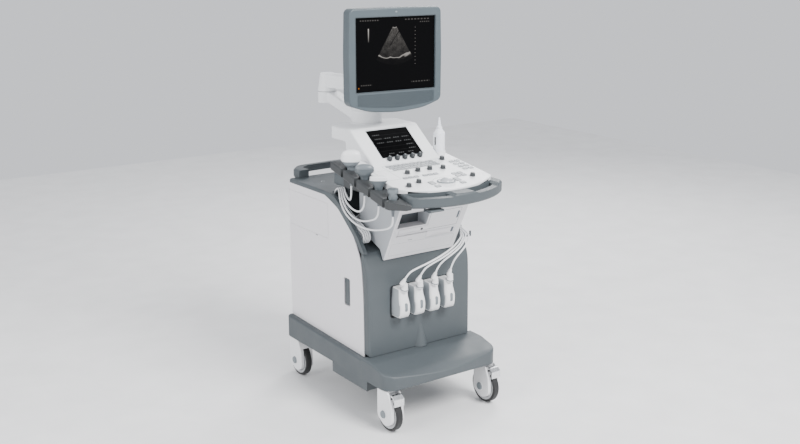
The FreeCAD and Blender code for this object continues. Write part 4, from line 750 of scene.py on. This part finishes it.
def strip(name, points, width, frame_of, height, material):
    """Flat band of even width that follows points on a surface."""
    verts = []
    for k, (a, b) in enumerate(points):
        ahead = points[min(k + 1, len(points) - 1)]
        behind = points[max(k - 1, 0)]
        da = ahead[0] - behind[0]
        db = ahead[1] - behind[1]
        size = max(1e-6, math.hypot(da, db))
        na = -db / size * width / 2
        nb = da / size * width / 2
        for sign, lift in ((1, -0.6), (1, height), (-1, height), (-1, -0.6)):
            verts.append(frame_of(a + na * sign, b + nb * sign, lift))
    return make_object(name, verts, ring_faces(len(points), 4), material)


def closed_strip(name, outline, width, frame_of, height, material):
    return strip(name, list(outline) + [outline[0], outline[1]], width, frame_of, height, material)


def give(body, slot, *pieces):
    for piece in pieces:
        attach(piece, body)


def joined(name, pieces):
    """One object from several, keeping their materials."""
    bpy.ops.object.select_all(action="DESELECT")
    for piece in pieces:
        piece.select_set(True)
    bpy.context.view_layer.objects.active = pieces[0]
    bpy.ops.object.join()
    pieces[0].name = name
    return pieces[0]


def add_pod_details():
    """Face of the pod: bay lining, drive lip, button, right-hand door, side pocket and shadow gaps."""
    face = []
    bay = rounded_outline(61.5, 29.0, 3.0)
    face.append(closed_strip("bay_rim", shifted(bay, -76, 710.5), 1.6, on_pod, 0.7, "pod"))
    face.append(lift_outline("drive_button_rim", shifted(rounded_outline(6.2, 5.2, 5.0), -29.4, 666.5), on_pod,
                             0.2, 1.6, "pod"))
    face.append(lift_outline("drive_button", shifted(rounded_outline(4.8, 4.0, 3.9), -29.4, 666.5), on_pod,
                             0.4, 2.4, "black", crown=0.4))
    door = rounded_outline(65.0, 33.5, 3.0)
    face.append(closed_strip("door_gap", shifted(door, 57.5, 693.5), 1.1, on_pod, 0.12, "mark_blue"))
    face.append(lift_outline("door_pull", shifted(rounded_outline(4.0, 14.0, 2.0), 115, 700), on_pod, -0.4, 0.5,
                             "mark_blue"))
    pocket = rounded_outline(61.0, 14.0, 2.5)
    face.append(closed_strip("pocket_gap", shifted(pocket, 61.5, 638), 1.0, on_pod, 0.12, "light_line"))
    face.append(lift_outline("pocket_panel", shifted(rounded_outline(59.5, 12.6, 2.0), 61.5, 638), on_pod, -0.4,
                             0.25, "side"))
    face.append(lift_outline("pocket_latch", shifted(rounded_outline(5.0, 9.5, 1.5), 112, 640), on_pod, -0.4, 0.8,
                             "mark_blue"))
    face.append(strip("drive_shadow", [(-127, 647.5), (-60, 647.2), (0, 647.5)], 1.4, on_pod, 0.12, "dark"))
    face.append(lift_outline("eject_mark", shifted(rounded_outline(9.0, 0.9, 0.8), -64, 628), on_pod, -0.2, 0.15,
                             "mark_blue"))
    face.append(closed_strip("pod_lower_seam", shifted(rounded_outline(133.0, 23.0, 4.0), -4, 597), 0.8, on_pod,
                             0.1, "light_line"))
    give("console", "white_plastic", joined("pod_face_trim", face))
    lip = strip("drive_lip", [(-124, 658.5), (-64, 658.5), (-40, 658.5)], 0.9, on_pod, 1.25, "dark")
    give("disc_drawer", "white_plastic", lip)


KNOBS = [(-64.0 + 32 * i, -88.0, True) for i in range(5)]
KNOBS += [(x, y, False) for x, y in ((-75, -209), (-25, -200), (25, -200), (75, -209))]
KNOBS += [(-92, -298, False), (-146, -318, False), (132, -128, False), (124, -310, False)]


def arc(a, b, radius, from_deg, to_deg, steps=20):
    return [(a + radius * math.cos(math.radians(from_deg + (to_deg - from_deg) * k / steps)),
             b + radius * math.sin(math.radians(from_deg + (to_deg - from_deg) * k / steps)))
            for k in range(steps + 1)]


def ribbed_cap(name, a, b, steep):
    """Knob as a moulded cap with finger ribs and a crowned top."""
    frame_of = on_hood if steep else on_plate
    ribs = 24
    profile = ((9.5, 1.0), (9.5, 2.3), (8.9, 2.8), (8.6, 3.4), (7.9, 11.2), (7.3, 12.2), (6.2, 12.8), (3.0, 13.0))
    centre = frame_of(a, b, 0.0)
    axis = (frame_of(a, b, 1.0) - centre).normalized()
    _, side, other = basis(axis)
    count = ribs * 4
    verts = []
    for level, (radius, height) in enumerate(profile):
        for i in range(count):
            turn = 2 * math.pi * i / count
            rib = 0.32 * math.cos(ribs * turn) if level in (3, 4) else 0.0
            reach = (radius + rib) * MM
            verts.append(centre + axis * (height * MM) + side * (reach * math.cos(turn))
                         + other * (reach * math.sin(turn)))
    verts.append(centre + axis * (12.9 * MM))
    faces = ring_faces(len(profile), count, closed_end=False)
    last = (len(profile) - 1) * count
    faces += [(last + i, last + (i + 1) % count, len(verts) - 1) for i in range(count)]
    return make_object(name, verts, faces, "knob", 35.0)


def add_knobs():
    marks = []
    for k, (a, b, steep) in enumerate(KNOBS):
        name = "knob_%02d" % (k + 1)
        frame_of = on_hood if steep else on_plate
        cap = ribbed_cap("knob_cap_%02d" % (k + 1), a, b, steep)
        line = shifted(rounded_outline(0.6, 2.3, 0.3), a, b + 4.3)
        pointer = lift_outline("pointer", line, frame_of, 12.0, 13.2, "light_line", round_off=0.1)
        piece = joined("knob_cap_%02d" % (k + 1), [cap, pointer])
        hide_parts(name)
        give(name, "knob_plastic", piece)
        squash_b = math.cos(HOOD_TILT) if steep else 1.0
        ring = [(p[0], b + (p[1] - b) * squash_b) for p in arc(a, b, 12.2, -50, 230)]
        marks.append(strip("dial_line_%02d" % k, ring, 0.5, frame_of, 0.08, "mark_blue"))
    give("console", "white_plastic", joined("dial_lines", marks))


def add_console_details():
    """Trackball collar, printed zone lines, bottle clip strip and screen surround."""
    ball = Vector((0.0, BALL_Y, panel_height(BALL_Y) - 8.0)) * MM
    collar = lathe("trackball_collar", ((24.9, 11.0), (25.6, 12.4), (27.4, 13.4), (30.0, 13.2), (31.4, 12.2),
                                        (31.6, 10.0), (28.0, 9.0), (24.9, 9.6)), ball, (0, 0, 1), "mark_grey", 64)
    zones = []
    zones.append(closed_strip("zone_left", shifted(rounded_outline(28, 46, 8), -150, -200), 1.0, on_plate, 0.1,
                              "mark_grey"))
    zones.append(closed_strip("zone_right", shifted(rounded_outline(26, 58, 8), 162, -199), 1.0, on_plate, 0.1,
                              "mark_grey"))
    zones.append(closed_strip("zone_keys", shifted(rounded_outline(112, 27, 8), -6, -145), 1.0, on_plate, 0.1,
                              "mark_grey"))
    zones.append(strip("zone_arc", arc(0, BALL_Y, 44, 20, 160, 28), 1.2, on_plate, 0.1, "mark_grey"))
    rim = closed_strip("touch_screen_rim", shifted(rounded_outline(87.5, 68.0 * math.cos(HOOD_TILT), 4), 0, -26.5),
                       1.2, on_hood, 0.35, "light_line")
    clip = lift_outline("bottle_strap", rounded_outline(2.6, 15.0, 2.0),
                        lambda a, b, h: Vector((147.0 - h, -68.0 + a, 925.0 + b)) * MM, -2.0, 1.0, "black")
    give("console", "white_plastic", collar, joined("plate_print", zones), rim, clip)


def add_key_print():
    """Short marks printed on the keys, in place of lettering."""
    marks = []
    for row in range(3):
        for col in range(12):
            a = -99 + col * 16.5 + row * 3
            b = -128 - row * 17.0
            half = 1.6 + 0.9 * ((col * 5 + row * 3) % 3)
            marks.append(strip("mark", [(a - half, b + 1), (a, b + 1), (a + half, b + 1)], 1.0, on_plate, 2.66,
                               "mark_blue"))
    for row in range(4):
        for col in range(2):
            a = 150 + col * 24
            b = -160 - row * 26.0
            marks.append(strip("mark", [(a - 4, b), (a, b), (a + 3 + col, b)], 1.1, on_plate, 2.66, "mark_blue"))
    for col in range(6):
        a = -108 + col * 22.0 + (14 if col > 2 else 0)
        marks.append(strip("mark", [(a - 3, -246), (a, -246), (a + 4, -246)], 1.1, on_plate, 2.66, "mark_blue"))
    give("keys", "key_plastic", joined("key_print", marks))


def add_monitor_details():
    """Fine ribs under the screen, a seam round the window and a small round mark over it."""
    ribs = []
    count = 96
    for k in range(count):
        a = -151.0 + 302.0 * k / (count - 1)
        top = -134.0
        foot = -170.0 - 14.0 * (1 - (a / 151.0) ** 2)
        ribs.append(strip("rib", [(a, top), (a, (top + foot) / 2), (a, foot)], 1.1, on_bezel, 0.55, "bezel"))
    edge = [(-151.5 + 303.0 * k / 24, -170.5 - 14.0 * (1 - ((k - 12) / 12.0) ** 2)) for k in range(25)]
    # A dark sheet behind the ribs paints the shade in the gaps between them.
    backing = lift_outline("rib_backing", [(-151.5, -133.0)] + edge + [(151.5, -133.0)], on_bezel, -0.4, 0.12,
                           "rib_gap_shade", round_off=0.1)
    band = joined("speaker_ribs", [backing] + ribs)
    window = closed_strip("window_rim", rounded_outline(157.5, 126.5, 3.0), 1.6, on_bezel, 0.25, "dark")
    mark = lift_outline("top_mark", shifted(rounded_outline(4.2, 2.6, 2.5), 0, 141.5), on_bezel, -0.3, 0.5,
                        "mark_grey")
    lamp = lift_outline("power_lamp", shifted(rounded_outline(2.0, 1.0, 0.9), 146, -129.5), on_bezel, -0.3, 0.4,
                        "mark_blue")
    give("monitor", "blue_grey_plastic", band, window, mark, lamp)


# height, front face, half width and front corner radius
PLUG_LEVELS = (
    (358.5, -224.0, 19.5, 8.0), (361.0, -229.0, 20.8, 10.0), (368.0, -233.5, 21.6, 12.0),
    (380.0, -237.5, 21.9, 14.0), (394.0, -239.0, 21.9, 15.0), (406.0, -238.0, 21.7, 15.0),
    (418.0, -234.0, 20.8, 14.0), (430.0, -229.8, 19.4, 13.5), (442.0, -228.0, 18.4, 13.0),
    (452.0, -226.5, 17.6, 12.5), (458.5, -223.0, 16.4, 11.5), (462.0, -216.0, 13.5, 9.0),
)
PLUG_REAR = -178.3


def plug_ring(x, level, steps=7):
    """Plan section of a plug: square at the rear, well rounded at the front."""
    z, front, half, radius = level
    points = [(x + half, PLUG_REAR), (x + half, (PLUG_REAR + front + radius) / 2)]
    for sign, start in ((1, 0.0), (-1, 90.0)):
        for k in range(steps + 1):
            turn = math.radians(start + 90.0 * k / steps)
            points.append((x + sign * (half - radius) + radius * math.cos(turn),
                           front + radius - radius * math.sin(turn)))
    points += [(x - half, (PLUG_REAR + front + radius) / 2), (x - half, PLUG_REAR)]
    return [Vector((a, b, z)) * MM for a, b in points]


def plug_shell(x):
    rings = [plug_ring(x, level) for level in PLUG_LEVELS]
    count = len(rings[0])
    verts = [v for ring in rings for v in ring]
    shell = make_object("plug_shell", verts, ring_faces(len(rings), count), "connector")
    shell.data.materials.append(PALETTE["plug_side"])
    # The flat sides of each plug take the grey material: painted shade.
    for face in shell.data.polygons:
        face.material_index = 1 if abs(face.normal[0]) > 0.94 else 0
    return shell


def add_connectors():
    """Curved probe plugs with an oval lock, a collar ring and a ribbed boot each."""
    pieces = []
    for x in CONNECTOR_X:
        hub = Vector((x, -239.2, 398.0)) * MM
        pieces.append(plug_shell(x))
        pieces.append(lift_outline("lock_grip", rounded_outline(5.6, 15.5, 5.5),
                                   lambda a, b, h, hub=hub: hub + Vector((a, -h + 0.012 * b * b, b)) * MM, -2.5, 1.4,
                                   "mark_grey", crown=0.5))
        axis = boot_axis(x)
        tip = Vector((x, BOOT_TOP[0], BOOT_TOP[1]))
        profile = [(0.1, -26.0), (7.0, -25.8), (8.5, -22.0), (8.5, -18.0)]
        for rib in range(6):
            along = -17.0 + rib * 2.8
            radius = 4.0 + 4.1 * (-along) / 19.0
            profile += [(radius + 0.9, along), (radius + 0.9, along + 1.4), (radius + 0.1, along + 1.7),
                        (radius + 0.1, along + 2.5)]
        profile += [(3.6, 0.0), (0.1, 0.1)]
        pieces.append(lathe("boot", profile, tip * MM, axis, "connector", 32))
        neck = Vector((x, -225.0, 458.0)) * MM
        pieces.append(lathe("plug_neck", ((0.1, -2.0), (13.0, -1.8), (13.0, 0.0), (12.2, 6.0), (10.4, 14.0),
                                          (8.8, 22.0), (8.0, 26.0), (0.1, 26.3)), neck, (0, -0.263, 0.965), "connector",
                            40))
        pieces.append(lathe("boot_collar", ((11.0, 1.5), (13.3, 2.0), (13.6, 3.4), (12.9, 4.9), (11.0, 5.4)), neck,
                            (0, -0.263, 0.965), "mark_grey", 40))
    plugs = joined("probe_plugs", pieces)
    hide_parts("probe_connectors")
    give("cart", "white_plastic", plugs)


# per probe: half width, half depth, head height, dome height, colour break, lower and upper material
PROBE_FORMS = {
    "probe_convex": (34.0, 17.0, 40.0, 19.0, 20.0, "probe_pale", "probe_white"),
    "probe_abdominal": (32.0, 15.0, 28.0, 15.0, 27.0, "probe_grey", "probe_pale"),
    "probe_linear": (29.0, 12.0, 32.0, 5.0, 22.0, "probe_grey", "probe_white"),
    "probe_small": (18.0, 12.5, 28.0, 3.0, 26.0, "probe_pale", "probe_grey"),
}
PROBE_TURN = math.radians(-35.0)


def eased(levels, steps=6):
    """Smooth rows of numbers through the given rows, which start with their height."""
    rows = []
    for k in range(len(levels) - 1):
        a = levels[max(k - 1, 0)]
        b, c = levels[k], levels[k + 1]
        d = levels[min(k + 2, len(levels) - 1)]
        for step in range(steps):
            t = step / steps
            row = [b[0] + (c[0] - b[0]) * t]
            for n in range(1, len(b)):
                row.append(0.5 * (2 * b[n] + (c[n] - a[n]) * t + (2 * a[n] - 5 * b[n] + 4 * c[n] - d[n]) * t * t
                                  + (3 * b[n] - a[n] - 3 * c[n] + d[n]) * t ** 3))
            rows.append(tuple(row))
    rows.append(tuple(levels[-1]))
    return rows


def squarer(wave, z):
    """Above the cup a probe's plan is squarer than an ellipse."""
    return math.copysign(abs(wave) ** 0.87, wave) if z > 4 else wave


def add_probes():
    """Probes with a two-colour shell, a seam round it, a crowned face and a ribbed cable sleeve."""
    count = 48
    for index, (name, form) in enumerate(PROBE_FORMS.items()):
        wide, thick, rise, dome, parting, lower, upper = form
        seat = probe_seat(index)
        rows = [(-64.0, 0.3, 0.3)]
        for rib in range(7):
            z = -64.0 + rib * 4.0
            size = 3.9 + 0.32 * rib
            rows += [(z, size + 0.7, size + 0.7), (z + 2.2, size + 0.7, size + 0.7), (z + 2.6, size, size),
                     (z + 3.6, size, size)]
        shell = eased([(-34.0, 8.6, 8.6), (-12.0, 12.3, 11.3), (0.0, 15.3, 13.3), (9.0, wide * 0.7, thick + 1.2),
                       (rise * 0.62, wide - 0.4, thick + 1.3), (rise, wide - 0.4, thick)])
        rows += [row for row in shell if abs(row[0] - parting) > 1.0]
        near = min(shell, key=lambda row: abs(row[0] - parting))
        for lift, keep in ((-0.7, 1.0), (-0.4, 0.975), (0.4, 0.975), (0.7, 1.0)):
            rows.append((parting + lift, near[1] * keep, near[2] * keep))
        rows.sort()
        for k in range(1, 12):
            turn = math.pi / 2 * k / 11
            keep = max(0.01, math.cos(turn) ** 0.8)
            rows.append((rise + dome * math.sin(turn), (wide - 0.4) * keep, thick * keep))
        verts = []
        for z, a, b in rows:
            for i in range(count):
                turn = 2 * math.pi * i / count
                x = a * squarer(math.cos(turn), z)
                y = b * squarer(math.sin(turn), z)
                verts.append(Vector((HOLDER_X + x * math.cos(PROBE_TURN) - y * math.sin(PROBE_TURN),
                                     HOLDER_Y[index] + x * math.sin(PROBE_TURN) + y * math.cos(PROBE_TURN),
                                     seat + z)) * MM)
        body = make_object(name + "_shell", verts, ring_faces(len(rows), count), lower)
        body.data.materials.append(PALETTE[upper])
        for face in body.data.polygons:
            face.material_index = 1 if face.center[2] / MM - seat > parting else 0
        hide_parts(name)
        give(name, "probe_plastic", body)


def add_cabinet_details():
    """Deck mark and light line, and latch plates."""
    def on_deck(a, b, height):
        return Vector((a, b, DECK_TOP + height)) * MM
    border = shifted(rounded_outline(178, 92, 14), 0, 212)
    deck = [strip("deck_mark", [(-150, 226), (-142, 236), (-134, 226)], 3.0, on_deck, 0.4, "light_line"),
            closed_strip("deck_line", border, 1.0, on_deck, 0.15, "mark_blue")]
    give("cart", "blue_grey_plastic", joined("deck_trim", deck))
    for side, label in ((-1, "left"), (1, "right")):
        def on_side(a, b, height, side=side):
            return Vector((side * (SIDE_FACE + height), a, b)) * MM
        latch = [lift_outline("latch", shifted(rounded_outline(16.5, 47.0, 4.0), -50, 427), on_side, -12.5, -2.0,
                              "grey"),
                 closed_strip("latch_rim", shifted(rounded_outline(20.0, 51.0, 7.5), -50, 427), 1.6, on_side, 0.4,
                              "side"),
                 lift_outline("door_mark", shifted(rounded_outline(7.0, 1.4, 1.0), 150, 589), on_side, -0.3, 0.3,
                              "mark_blue")]
        give("cart", "white_plastic", joined(label + "_side_trim", latch))


add_camera()
make_palette()
add_studio()
smooth_nodes()
paint_nodes()
add_cables()
add_pod_details()
add_knobs()
add_console_details()
add_key_print()
add_monitor_details()
add_connectors()
add_probes()
add_cabinet_details()
